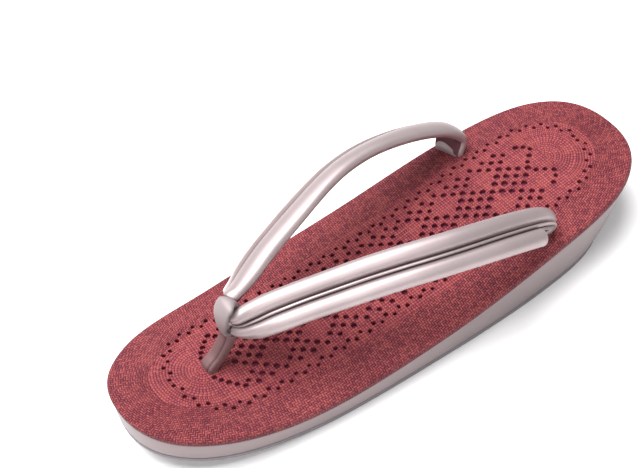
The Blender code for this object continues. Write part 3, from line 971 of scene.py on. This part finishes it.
def cover_grid(sizes):
    """Skin of the cover on a grid: rings round the rolled edge, then rows in to a spine along the middle.

    The rolled edge is an arc from the lower edge up to the tread. From there every point of the ring
    goes straight to the spine: level across the straight part, and fanwise at the toe and the heel. The
    tread's height is the shoulder's plus a crown that grows with the distance from it.
    """
    _, _, way = even_outline(8)
    girth = way[-1] * 8 / 7
    columns = 2 * int(round(girth / COVER_STEP / 2))
    outer, normal, way = even_outline(columns)
    radius = millimetres(2.0)
    heart = millimetres(1.3)
    angle = np.linspace(ROLL_START, math.pi / 2, ROLL_STEPS)
    lift = np.where(angle > 0, COVER_EDGE_HEIGHT - heart, radius)
    inward = radius * (1 - np.cos(angle))
    rise = heart + lift * np.sin(angle)
    plan = outer[None] - normal[None] * inward[:, None, None]
    heights = edge_height(plan[..., 1]) + rise[:, None]
    roll_way = np.concatenate([[0], np.cumsum(np.hypot(np.diff(inward), np.diff(rise)))])
    shoulder = plan[-1]
    rows = int(round((HALF_WIDTH - radius) / COVER_STEP))
    share = (np.arange(1, rows + 1) / rows)[:, None, None]
    spine = np.stack([np.zeros(columns), np.clip(shoulder[:, 1], -FAN_CENTRE, FAN_CENTRE)], axis=1)
    top = shoulder[None] + (spine - shoulder)[None] * share
    step_in = np.sum((shoulder - spine) * normal, axis=1)
    depth_in = step_in[None] * share[..., 0]
    crown = COVER_CROWN * (1 - (1 - np.clip(depth_in / (HALF_WIDTH - radius), 0, 1)) ** 2)
    top_heights = tread_height(top[..., 1]) + crown
    x = np.concatenate([plan[..., 0], top[..., 0]])
    y = np.concatenate([plan[..., 1], top[..., 1]])
    z = np.concatenate([heights, top_heights])
    inward_way = np.concatenate([
        np.repeat(roll_way[:, None], columns, axis=1), roll_way[-1] + depth_in,
    ])
    # The way round is stretched to whole repeats of the twill, so that it meets itself at the toe
    repeat = 4 * sizes.strand * BORDER_FINENESS
    stretch = round(girth / repeat) * repeat / girth
    round_way = np.repeat(way[None] * stretch, len(x), axis=0)
    return np.stack([x, y, z], axis=-1), round_way, inward_way


def pull_to_holes(points, holes):
    """Move the grid's points that lie near a hole's circle onto it, and mark what lies inside.

    Returns the moved points, a mark for points inside a circle, and the hole nearest to each point.
    """
    flat = points.reshape(-1, 3).copy()
    inside = np.zeros(len(flat), dtype=bool)
    nearest = np.full(len(flat), -1)
    gap = np.full(len(flat), 1.0)
    lip = np.zeros(len(flat))
    reach = COVER_STEP * 0.5
    order = np.argsort(flat[:, 1])
    sorted_y = flat[order, 1]
    for number, (x, y, radius) in enumerate(holes):
        near = radius + millimetres(1.2)
        low, high = np.searchsorted(sorted_y, (y - near, y + near))
        some = order[low:high]
        offset = flat[some, :2] - (x, y)
        away = np.hypot(offset[:, 0], offset[:, 1])
        close = away < near
        some, offset, away = some[close], offset[close], away[close]
        nearer = np.abs(away - radius) < gap[some]
        gap[some[nearer]] = np.abs(away - radius)[nearer]
        nearest[some[nearer]] = number
        lip[some] = np.maximum(lip[some], bell(away - radius - LIP_PLACE, LIP_WIDTH))
        snap = np.abs(away - radius) < reach
        flat[some[snap], :2] = (x, y) + offset[snap] * (radius / np.maximum(away[snap], 1e-9))[:, None]
        inside[some[away <= radius - reach]] = True
    flat[:, 2] += LIP_HEIGHT * lip * ~inside
    return flat, inside, nearest


def directed(a, b, swap):
    """Pairs of points, the other way round where swap is set."""
    return np.where(swap[:, None], np.stack([b, a], 1), np.stack([a, b], 1))


def strip(upper, lower):
    """Quads between matching edges, given as pairs of points."""
    return np.column_stack([lower, upper[:, ::-1]])


def make_cover(sizes, colours):
    """The woven cover with its openwork cut through: the grid, less what lies in a hole, plus hole walls.

    A face lies in a hole if its middle does, or any corner. Its walls start from the edges between kept
    and dropped faces. The attribute "depth" is 0 on top and 1 at the foot of a hole's wall.
    """
    points, round_way, inward_way = cover_grid(sizes)
    rows, columns = points.shape[:2]
    holes = hole_table(sizes)
    flat, inside, nearest = pull_to_holes(points, holes)
    quads = closed_band(rows, columns)
    centre = flat[quads].mean(axis=2)
    hole = nearest[quads].max(axis=2)
    held = hole >= 0
    away = np.full(centre.shape[:2], 1.0)
    away[held] = np.hypot(*(centre[held][:, :2] - holes[hole[held], :2]).T)
    drop = held & (away < holes[np.maximum(hole, 0), 2] * 0.985)
    kept = ~(drop | inside[quads].any(axis=2))
    r, c = np.nonzero(kept[1:] != kept[:-1])
    start = (r + 1) * columns
    round_edges = directed(start + c, start + (c + 1) % columns, kept[r + 1, c])
    r, c = np.nonzero(kept != np.roll(kept, 1, axis=1))
    inward_edges = directed(r * columns + c, (r + 1) * columns + c, ~kept[r, c])
    rim_edges = np.vstack([round_edges, inward_edges])
    rim, places = np.unique(rim_edges, return_inverse=True)
    places = places.reshape(rim_edges.shape)
    top = flat[rim]
    to_middle = holes[nearest[rim], :2] - top[:, :2]
    levels = []
    for drawn_in, sunk in HOLE_STEPS:
        levels.append(np.column_stack([top[:, :2] + to_middle * drawn_in, top[:, 2] - sunk * COVER_WALL]))
    total = len(flat)
    count = len(rim)
    # The lower edge turns in under the roll and meets the wall of the wedge
    under = flat[:columns].copy()
    under[:, :2] -= even_outline(columns)[1] * COVER_WALL
    ring = np.arange(columns)
    edge = np.stack([ring, (ring + 1) % columns], axis=1)
    vertices = np.vstack([flat, *levels, under])
    faces = np.vstack([
        quads[kept], strip(rim[places], total + places), strip(total + places, total + count + places),
        strip(edge, total + 2 * count + edge),
    ])
    border = np.stack([round_way.ravel(), inward_way.ravel()], axis=1)
    border = np.vstack([border, border[rim], border[rim], border[:columns]])
    # Depth also sets the painted shade down the holes' walls and under the roll
    depth = np.repeat([0.0, 0.45, 1.0, 0.6], [total, count, count, columns])
    return add_piece(
        "woven_tread", vertices, faces, cover_material(sizes, colours),
        maps=(("border", border), ("field", vertices[:, :2])), values=(("depth", depth),),
        replaced=("woven_cover",), merge=1e-6, turn=round_way[0, -1] * columns / (columns - 1),
    )


# Sole


def sole_outline(points, normal, setback=0.0):
    """The outline at the floor: the wall's, drawn in by the rakes of toe and heel and the sides' draft."""
    low = points - normal * setback
    low[:, 0] *= 1 - SIDE_DRAFT / HALF_WIDTH
    rake = np.where(low[:, 1] > 0, HEEL_RAKE, TOE_RAKE)
    low[:, 1] *= 1 - rake / (LENGTH / 2)
    return low


def make_wall(colours):
    """Covered side of the wedge: straight lines from foot to seat, swollen outwards in between.

    The swelling is a parabola in the height, as in the solid, and the covering is tucked in with a small
    round at its foot and at its top. Its foot is darkened as painted shade where it meets the outsole.
    """
    columns = SOLE_STEPS
    rows = 16
    points, normal, _ = even_outline(columns)
    low = sole_outline(points, normal)
    high = points - normal * WALL_SETBACK
    foot_height = sole_height(low[:, 1]) + OUTSOLE_THICKNESS + GAP
    seat_height = edge_height(high[:, 1]) - GAP
    share = np.linspace(0, 1, rows)[:, None]
    bow = WALL_FULLNESS * (share * (1 - share)) / (WALL_BULGE_RISE * (1 - WALL_BULGE_RISE))
    tightness = 14
    tuck = millimetres(0.35) * (np.exp(-share * tightness) + np.exp(-(1 - share) * tightness))
    plan = low[None] + (high - low)[None] * (share + bow)[..., None] - normal[None] * tuck[..., None]
    height = foot_height[None] + (seat_height - foot_height)[None] * share
    vertices = np.concatenate([plan, height[..., None]], axis=-1).reshape(-1, 3)
    # Painted shade at the foot of the wall, where it is tucked in over the outsole
    foot_shade = np.exp(-share * 30)[:, 0]
    return add_piece(
        "wedge_wall", vertices, capped_stack(rows, columns), pearl_material("wall_pearl", colours.wall),
        values=(("fold_shade", np.repeat(foot_shade, columns)),), replaced=("wedge_body",),
    )


def make_outsole(colours):
    """Thin outsole that follows the underside up to the toe, with rounded lower and upper edges."""
    points, normal, _ = even_outline(SOLE_STEPS)
    section = (
        # inward, rise as a share of the thickness
        (millimetres(0.4), 0.0),
        (0.0, 0.22),
        (0.0, 0.85),
        (millimetres(0.15), 1.0),
    )
    rings = []
    for inward, rise in section:
        ring = sole_outline(points, normal, OUTSOLE_SETBACK + inward)
        height = sole_height(ring[:, 1]) + rise * OUTSOLE_THICKNESS
        rings.append(np.column_stack([ring, height]))
    under = np.repeat([1.0, 0.0, 0.0, 0.0], SOLE_STEPS)
    return add_piece(
        "outsole_sheet", np.vstack(rings), capped_stack(len(rings), SOLE_STEPS), rubber_material(colours),
        values=(("under", under),), replaced=("outsole",),
    )


# Strap and toe loop


def strap_frames(steps):
    """Centre, width direction, outward direction, width and thickness along the whole strap.

    The right arm is read from the table and the left arm is its mirror image. The last stretch of each
    arm goes straight down into the sole.
    """
    mirrored = np.array(STRAP_ROWS[1]) * [1, -1, 1, 1, 1, -1, 1, 1]
    table = [(k, *row) for k, row in enumerate((mirrored, *STRAP_ROWS))]
    rows = read_table(table, np.linspace(1, len(table) - 1, steps))
    along = (rows[:, 0] - 0.5) * LENGTH
    height = tread_height(along) + rows[:, 2] * STRAP_RISE
    centres = np.stack([rows[:, 1] * HALF_WIDTH, along, height], axis=1)
    wide = rows[:, 5:8]
    widths = rows[:, 3] * STRAP_WIDTH
    thicks = rows[:, 4] * STRAP_THICKNESS
    end = centres[-1].copy()
    end[2] = tread_height(end[1]) - ANCHOR_DEPTH
    down = np.linspace(0, 1, 9)[1:, None]
    centres = np.vstack([centres, centres[-1] + (end - centres[-1]) * down])
    wide = np.vstack([wide, np.repeat(wide[-1:], len(down), axis=0)])
    settle = np.minimum(1, down[:, 0] * 2)
    widths = np.append(widths, widths[-1] + (ANCHOR_WIDTH - widths[-1]) * settle)
    thicks = np.append(thicks, thicks[-1] + (ANCHOR_THICKNESS - thicks[-1]) * settle)
    flip = np.array([-1.0, 1.0, 1.0])
    centres = np.vstack([(centres * flip)[:0:-1], centres])
    wide = np.vstack([(wide * flip)[:0:-1], wide])
    widths = np.concatenate([widths[:0:-1], widths])
    thicks = np.concatenate([thicks[:0:-1], thicks])
    forward = unit(np.gradient(centres, axis=0))
    wide = unit(wide - forward * np.sum(wide * forward, axis=1, keepdims=True))
    return centres, wide, np.cross(forward, wide), widths, thicks


def closed_section(table, steps):
    """A closed section read finely on a smooth curve through its points."""
    points = [tuple(p) for p in table]
    wrapped = [points[-2], points[-1]] + points + [points[0], points[1]]
    keyed = [(k - 2,) + p for k, p in enumerate(wrapped)]
    return read_table(keyed, np.arange(steps) / steps * len(points))


def sweep(centres, wide, outward, offsets):
    """Points of a section carried along a path. offsets holds, for each place, width and height moves."""
    return (
        centres[:, None]
        + wide[:, None] * offsets[..., 0:1]
        + outward[:, None] * offsets[..., 1:2]
    )


def capped_tube(rows, columns):
    """Quads of a tube and the two faces that close its ends."""
    faces = closed_band(rows, columns).reshape(-1, 4).tolist()
    faces.append(list(range(columns)))
    faces.append(list(range((rows - 1) * columns, rows * columns)))
    return faces


def signed_power(value, power):
    """A power that keeps the sign."""
    return np.sign(value) * np.abs(value) ** power


def loop_oval(angle):
    """Shares of both half sizes at an angle round the loop's path, an oval with squared corners."""
    return [signed_power(turned, LOOP_FINE_SQUARENESS) for turned in (np.cos(angle), np.sin(angle))]


def make_strap(colours):
    """Both padded arms: the two-roll section carried from one hole over the knot to the other.

    The padding swells and sinks as a sine along each roll. On the right arm small gathers run out of the
    knot, as waves across the width that fade as a bell. Its outer roll stops square before the arm turns
    down, and only the inner roll and the ridge go round the bend.

    On the left arm the ridge lies nearer the outer edge, the outer roll is pressed down, and above the
    loop there is a fold: a neck that sinks more toward the inner edge, under a puffed edge. Inside the
    loop the section turns into an oval that fills it.

    The attribute for the folds marks the grooves, gathers and fold, which get painted shade. The one for
    the underside is the distance along the back from the rounded upper edge of the flap at each end, where
    the painted shade of the underside begins.
    """
    centres, wide, outward, widths, thicks = strap_frames(STRAP_STEPS)
    section = closed_section(STRAP_SECTION, SECTION_STEPS)
    section_across, section_height = section[None, :, 0], section[None, :, 1]
    full_width, full_thick = widths[:, None], thicks[:, None]
    way = way_along(centres)
    from_knot = np.abs(way - way[-1] / 2)
    from_end = way[-1] / 2 - from_knot
    left = smooth_step(0, LEFT_CHANGE, -centres[:, 0])[:, None]
    middle_share = 1 - (2 * section_across) ** 2
    across = (section_across - ARM_SLIDE * left * middle_share) * full_width
    height = section_height * full_thick
    # Padding, gathers and the left arm's fold
    front = smooth_step(0.05, 0.35, section_height)
    pad = PAD_SWELL * np.sin(way[:, None] * 2 * np.pi / PAD_PITCH + PAD_OFFSET * np.sign(section_across))
    gather = bell(from_knot, GATHER_REACH)[:, None]
    wave = np.sin(section_across * 2 * np.pi * GATHER_COUNT)
    pleats = GATHER_DEPTH * wave * gather * (1 - left)
    beyond = (way[-1] / 2 - way - NECK_END)[:, None] + NECK_SLANT * section_across
    inner = NECK_MIDDLE + section_across
    swell = smooth_step(-NECK_EDGE, NECK_EDGE, beyond)
    neck = (1 - swell) * (beyond > -NECK_END)
    puff = PUFF_HEIGHT * bell(beyond - NECK_EDGE, PUFF_REACH) * swell
    height = height + front * (pad + pleats + puff - NECK_DEPTH * inner * neck)
    across = across * (1 - NECK_NARROWING * neck * (section_across > 0))
    # The right arm's outer roll, cut off
    outer = section_across < -ROLL_FOOT
    past_cut = (smooth_step(0, CUT_LENGTH, ROLL_CUT - from_end) * (centres[:, 0] > 0))[:, None]
    across = np.where(outer, across + (-STUB_PLACE * full_width - across) * past_cut, across)
    flat = np.minimum(height, STUB_HEIGHT * full_thick)
    height = np.where(outer, height + (flat - height) * past_cut, height)
    # The left arm's outer roll, pressed down, and its ridge
    sunk = SINK_DEPTH - SINK_EASING * smooth_step(*SINK_SPAN, from_end)
    sunk = left * (sunk * smooth_step(*SINK_START, from_knot))[:, None]
    height = np.where(outer, height + (-0.5 * full_thick - height) * sunk, height)
    lifted = smooth_step(*RIDGE_SPAN, from_end)[:, None]
    crest = bell(section_across, CREST_WIDTH) * (section_height > 0)
    height = height + RIDGE_LIFT * left * lifted * crest
    # The oval that fills the loop, set back and up by as much as the loop's middle
    oval_high, oval_deep = loop_oval(np.arange(SECTION_STEPS) / SECTION_STEPS * 2 * np.pi - np.pi / 2)
    knot_rise = (LOOP_RISE - STRAP_ROWS[0][2]) * STRAP_RISE
    knot_back = (LOOP_ALONG - STRAP_ROWS[0][0]) * LENGTH
    oval_across = knot_rise + (LOOP_HALF_HEIGHT - LOOP_WALL / 3) * oval_high
    oval_height = (LOOP_HALF_DEPTH - LOOP_WALL / 3) * oval_deep - knot_back
    gathered = smooth_step(*OVAL_SPAN, from_knot)[:, None]
    across = across + (oval_across - across) * gathered
    height = height + (oval_height - height) * gathered
    points = sweep(centres, wide, outward, np.stack([across, height], axis=-1))
    # Attributes: painted shade in the grooves, the gathers and the fold's crease, and where the underside's
    # painted shade begins
    groove = bell(np.abs(section_across) - GROOVE_PLACE, GROOVE_WIDTH) * (section_height > -0.3)
    crease = bell(beyond + 2 * NECK_EDGE, CREASE_WIDTH) * inner
    pleat_shade = 0.35 * front * gather * (wave < -0.5) * (1 - left)
    fold_shade = np.clip(groove * (1 - 0.7 * left) + pleat_shade + crease, 0, 1)
    # Painted shade on the back of the strap, below the flap at each end
    back = (section_height < -0.4) & (np.abs(section_across) < UNDERSIDE_SHADE_HALF_WIDTH)
    flap = ANCHOR_DEPTH + FLAP_HEIGHT * middle_share
    underside_shade = np.where(back, from_end[:, None] - flap, -FLAP_HEIGHT)
    return add_piece(
        "strap_arms", points.reshape(-1, 3), capped_tube(len(centres), SECTION_STEPS),
        pearl_material("strap_pearl", colours.strap),
        values=(("fold_shade", fold_shade.ravel()), ("underside_shade", underside_shade.ravel())), replaced=("strap",),
    )


def make_loop(colours):
    """Loop round the front of the strap: a band carried round an oval that leans a little.

    The band is narrow at the back and tapers smoothly from the loop's top to its foot. Its two side edges
    are darkened as painted shade.
    """
    centre_y = (LOOP_ALONG - 0.5) * LENGTH
    centre_z = float(tread_height(np.array(centre_y))) + LOOP_RISE * STRAP_RISE
    deep, high = loop_oval(np.arange(LOOP_STEPS) / LOOP_STEPS * 2 * np.pi)
    width = LOOP_WIDTH * (1 - (1 - LOOP_BACK_SHARE) * smooth_step(-0.4, 0.9, deep))
    width *= 1 - LOOP_TAPER * smooth_step(0.4, -0.9, high)
    band = np.array([
        # across as a share of the width, out as a share of the wall
        (-0.46, -0.60), (-0.50, -0.30), (-0.50, 0.30), (-0.46, 0.62), (-0.38, 0.86), (-0.2, 1.10),
        (0.0, 1.20), (0.2, 1.10), (0.38, 0.86), (0.46, 0.62), (0.50, 0.30), (0.50, -0.30), (0.46, -0.60),
        (0.2, -0.60), (-0.2, -0.60),
    ])
    x = band[None, :, 0] * width[:, None]
    reach_deep = (LOOP_HALF_DEPTH + band[None, :, 1] * LOOP_WALL) * deep[:, None]
    reach_high = (LOOP_HALF_HEIGHT + band[None, :, 1] * LOOP_WALL) * high[:, None]
    y = centre_y + reach_deep * math.cos(LOOP_LEAN) + reach_high * math.sin(LOOP_LEAN)
    z = centre_z - reach_deep * math.sin(LOOP_LEAN) + reach_high * math.cos(LOOP_LEAN)
    ring = np.stack([x, y, z], axis=-1)
    # Painted shade along the band's two side edges
    edge_shade = np.tile(0.5 * (np.abs(band[:, 0]) > 0.48), LOOP_STEPS)
    return add_piece(
        "loop_band", ring.reshape(-1, 3), closed_band(LOOP_STEPS, len(band), joined=True).reshape(-1, 4),
        pearl_material("loop_pearl", shade_of(colours.strap, LOOP_SHADE)),
        values=(("fold_shade", edge_shade),), replaced=("toe_loop",),
    )


def make_post(colours):
    """Folded post under the loop, which goes down into the sole.

    It is a flattened tube, narrower toward its top, with one long fold line as a dent on its heel side,
    darkened along it as painted shade.
    """
    table = [(k, *row) for k, row in enumerate(POST_ROWS)]
    rows = read_table(table, np.linspace(0, len(table) - 1, POST_STEPS))
    along = (rows[:, 0] - 0.5) * LENGTH
    height = tread_height(along) + rows[:, 1] * STRAP_RISE
    centres = np.stack([np.zeros(len(rows)), along, height], axis=1)
    end = centres[-1].copy()
    end[2] = float(tread_height(end[1])) - ANCHOR_DEPTH
    centres = np.vstack([centres, (centres[-1] + end) / 2, end])
    taper = 1 - POST_TAPER * np.linspace(1, 0, len(rows))
    widths = np.append(rows[:, 2] * taper, [1.0, 1.0]) * POST_WIDTH
    thicks = np.append(rows[:, 3], [1.0, 1.0]) * POST_THICKNESS
    wide = np.tile([1.0, 0.0, 0.0], (len(centres), 1))
    outward = np.cross(unit(np.gradient(centres, axis=0)), wide)
    angle = np.arange(POST_COLUMNS) / POST_COLUMNS * 2 * np.pi
    # The fold line is a dent, and its mark darkens it as painted shade
    crease = bell(angle - np.pi * 0.40, 0.10)
    half_across = 0.5 * signed_power(np.cos(angle), 0.5)
    half_height = 0.5 * signed_power(np.sin(angle), 0.62)
    offsets = np.stack([
        half_across * widths[:, None], half_height * (thicks[:, None] * (1 - 0.42 * crease)),
    ], axis=-1)
    points = sweep(centres, wide, outward, offsets)
    post = add_piece(
        "toe_post", points.reshape(-1, 3), capped_tube(len(centres), POST_COLUMNS),
        pearl_material("post_pearl_shaded", colours.post), values=(("fold_shade", np.tile(crease, len(centres))),),
    )
    return post


# Stage

CAMERA_PLACE = (0.25135, -0.17379, 0.39744)
CAMERA_AZIMUTH = math.radians(59.83)
CAMERA_ELEVATION = math.radians(49.29)
CAMERA_ROLL = math.radians(-4.94)
SENSOR_WIDTH = 36.0
MIDDLE = (0.0, 0.0, 0.02)
LIGHTS = (
    # name, place, size, power
    ("key", (-0.24, -0.20, 1.0), (0.9, 0.9), 25),
    ("fill", (0.75, -0.35, 0.8), (0.8, 0.6), 4),
)
WORLD_STRENGTH = 0.34
FLOOR_REACH = 3.0


def camera_axes():
    """Right, up and back directions of the camera, from its azimuth, elevation and roll."""
    sin_a, cos_a = math.sin(CAMERA_AZIMUTH), math.cos(CAMERA_AZIMUTH)
    sin_e, cos_e = math.sin(CAMERA_ELEVATION), math.cos(CAMERA_ELEVATION)
    back = Vector((sin_a * cos_e, -cos_a * cos_e, sin_e))
    level = Vector((cos_a, sin_a, 0.0))
    rise = back.cross(level)
    right = math.cos(CAMERA_ROLL) * level + math.sin(CAMERA_ROLL) * rise
    up = back.cross(right)
    return right, up, back


def make_camera(sizes):
    """The photograph's camera."""
    data = bpy.data.cameras.new("photo_camera")
    data.sensor_width = SENSOR_WIDTH
    data.lens = sizes.lens
    data.clip_start = 0.01
    data.clip_end = 20.0
    camera = bpy.data.objects.new("photo_camera", data)
    right, up, back = camera_axes()
    turn = Matrix((right, up, back)).transposed().to_4x4()
    camera.matrix_world = Matrix.Translation(CAMERA_PLACE) @ turn
    bpy.context.scene.collection.objects.link(camera)
    bpy.context.scene.camera = camera


def add_light(name, place, size, power):
    """A soft white light that faces the sandal's middle."""
    data = bpy.data.lights.new(name, "AREA")
    data.shape = "RECTANGLE"
    data.size, data.size_y = size
    data.energy = power
    lamp = bpy.data.objects.new(name, data)
    lamp.location = place
    facing = Vector(MIDDLE) - Vector(place)
    lamp.rotation_mode = "QUATERNION"
    lamp.rotation_quaternion = facing.to_track_quat("-Z", "Y")
    bpy.context.scene.collection.objects.link(lamp)


def make_floor(colours):
    """Pale floor under the sandal."""
    mesh = bpy.data.meshes.new("floor")
    corners = [(x * FLOOR_REACH, y * FLOOR_REACH, 0) for x, y in ((-1, -1), (1, -1), (1, 1), (-1, 1))]
    mesh.from_pydata(corners, [], [(0, 1, 2, 3)])
    floor = bpy.data.objects.new("floor", mesh)
    bpy.context.scene.collection.objects.link(floor)
    material, nodes, shader = start_material("pale_floor", roughness=0.9)
    paper = nodes.noise(nodes.place(), 400.0, detail=2.0)
    nodes.plug(shader.inputs["Base Color"], nodes.blend(
        paper, rgba(colours.floor, 0.995), rgba(colours.floor)))
    floor.data.materials.append(material)


def make_world():
    """Even white surroundings."""
    world = bpy.data.worlds.new("studio")
    world.use_nodes = True
    background = world.node_tree.nodes["Background"]
    background.inputs["Color"].default_value = (1.0, 1.0, 1.0, 1.0)
    background.inputs["Strength"].default_value = WORLD_STRENGTH
    bpy.context.scene.world = world


class ZORI_OT_stage(bpy.types.Operator):
    """Add the floor, the lights, the surroundings and the camera"""

    bl_idname = "zori.stage"
    bl_label = "Stage"

    def execute(self, context):
        sizes = context.scene.zori_sizes
        colours = context.scene.zori_colours
        make_world()
        make_floor(colours)
        make_camera(sizes)
        for name, place, size, power in LIGHTS:
            add_light(name, place, size, power)
        context.scene.view_settings.view_transform = "Standard"
        return {"FINISHED"}


class ZORI_OT_tread(bpy.types.Operator):
    """Add the woven cover with its openwork, and finish the pad under it"""

    bl_idname = "zori.tread"
    bl_label = "Woven tread"

    def execute(self, context):
        sizes = context.scene.zori_sizes
        colours = context.scene.zori_colours
        make_cover(sizes, colours)
        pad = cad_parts["insole_pad"]
        finish = pad_material(colours)
        for held in pad.material_slots:
            held.material = finish
        return {"FINISHED"}


class ZORI_OT_sole(bpy.types.Operator):
    """Add the covered wall of the wedge and the outsole"""

    bl_idname = "zori.sole"
    bl_label = "Sole"

    def execute(self, context):
        colours = context.scene.zori_colours
        make_wall(colours)
        make_outsole(colours)
        return {"FINISHED"}


class ZORI_OT_strap(bpy.types.Operator):
    """Add the padded strap, the loop and the toe post"""

    bl_idname = "zori.strap"
    bl_label = "Strap"

    def execute(self, context):
        colours = context.scene.zori_colours
        make_strap(colours)
        make_loop(colours)
        make_post(colours)
        return {"FINISHED"}


class ZORI_PT_panel(bpy.types.Panel):
    """Sizes, colours and pieces of the sandal"""

    bl_idname = "ZORI_PT_panel"
    bl_label = "Zori Sandal"
    bl_space_type = "VIEW_3D"
    bl_region_type = "UI"
    bl_category = "Zori"

    def draw(self, context):
        layout = self.layout
        for group in (context.scene.zori_sizes, context.scene.zori_colours):
            for key in group.__annotations__:
                layout.prop(group, key)
        for operator in STEPS:
            layout.operator(operator.bl_idname)


STEPS = (ZORI_OT_stage, ZORI_OT_tread, ZORI_OT_sole, ZORI_OT_strap)
CLASSES = (ZoriSizes, ZoriColours, *STEPS, ZORI_PT_panel)


def register():
    for one in CLASSES:
        bpy.utils.register_class(one)
    bpy.types.Scene.zori_sizes = bpy.props.PointerProperty(type=ZoriSizes)
    bpy.types.Scene.zori_colours = bpy.props.PointerProperty(type=ZoriColours)


def unregister():
    del bpy.types.Scene.zori_colours
    del bpy.types.Scene.zori_sizes
    for one in reversed(CLASSES):
        bpy.utils.unregister_class(one)


def main():
    register()
    bpy.ops.zori.stage()
    bpy.ops.zori.tread()
    bpy.ops.zori.sole()
    bpy.ops.zori.strap()


if __name__ == "__main__":
    main()
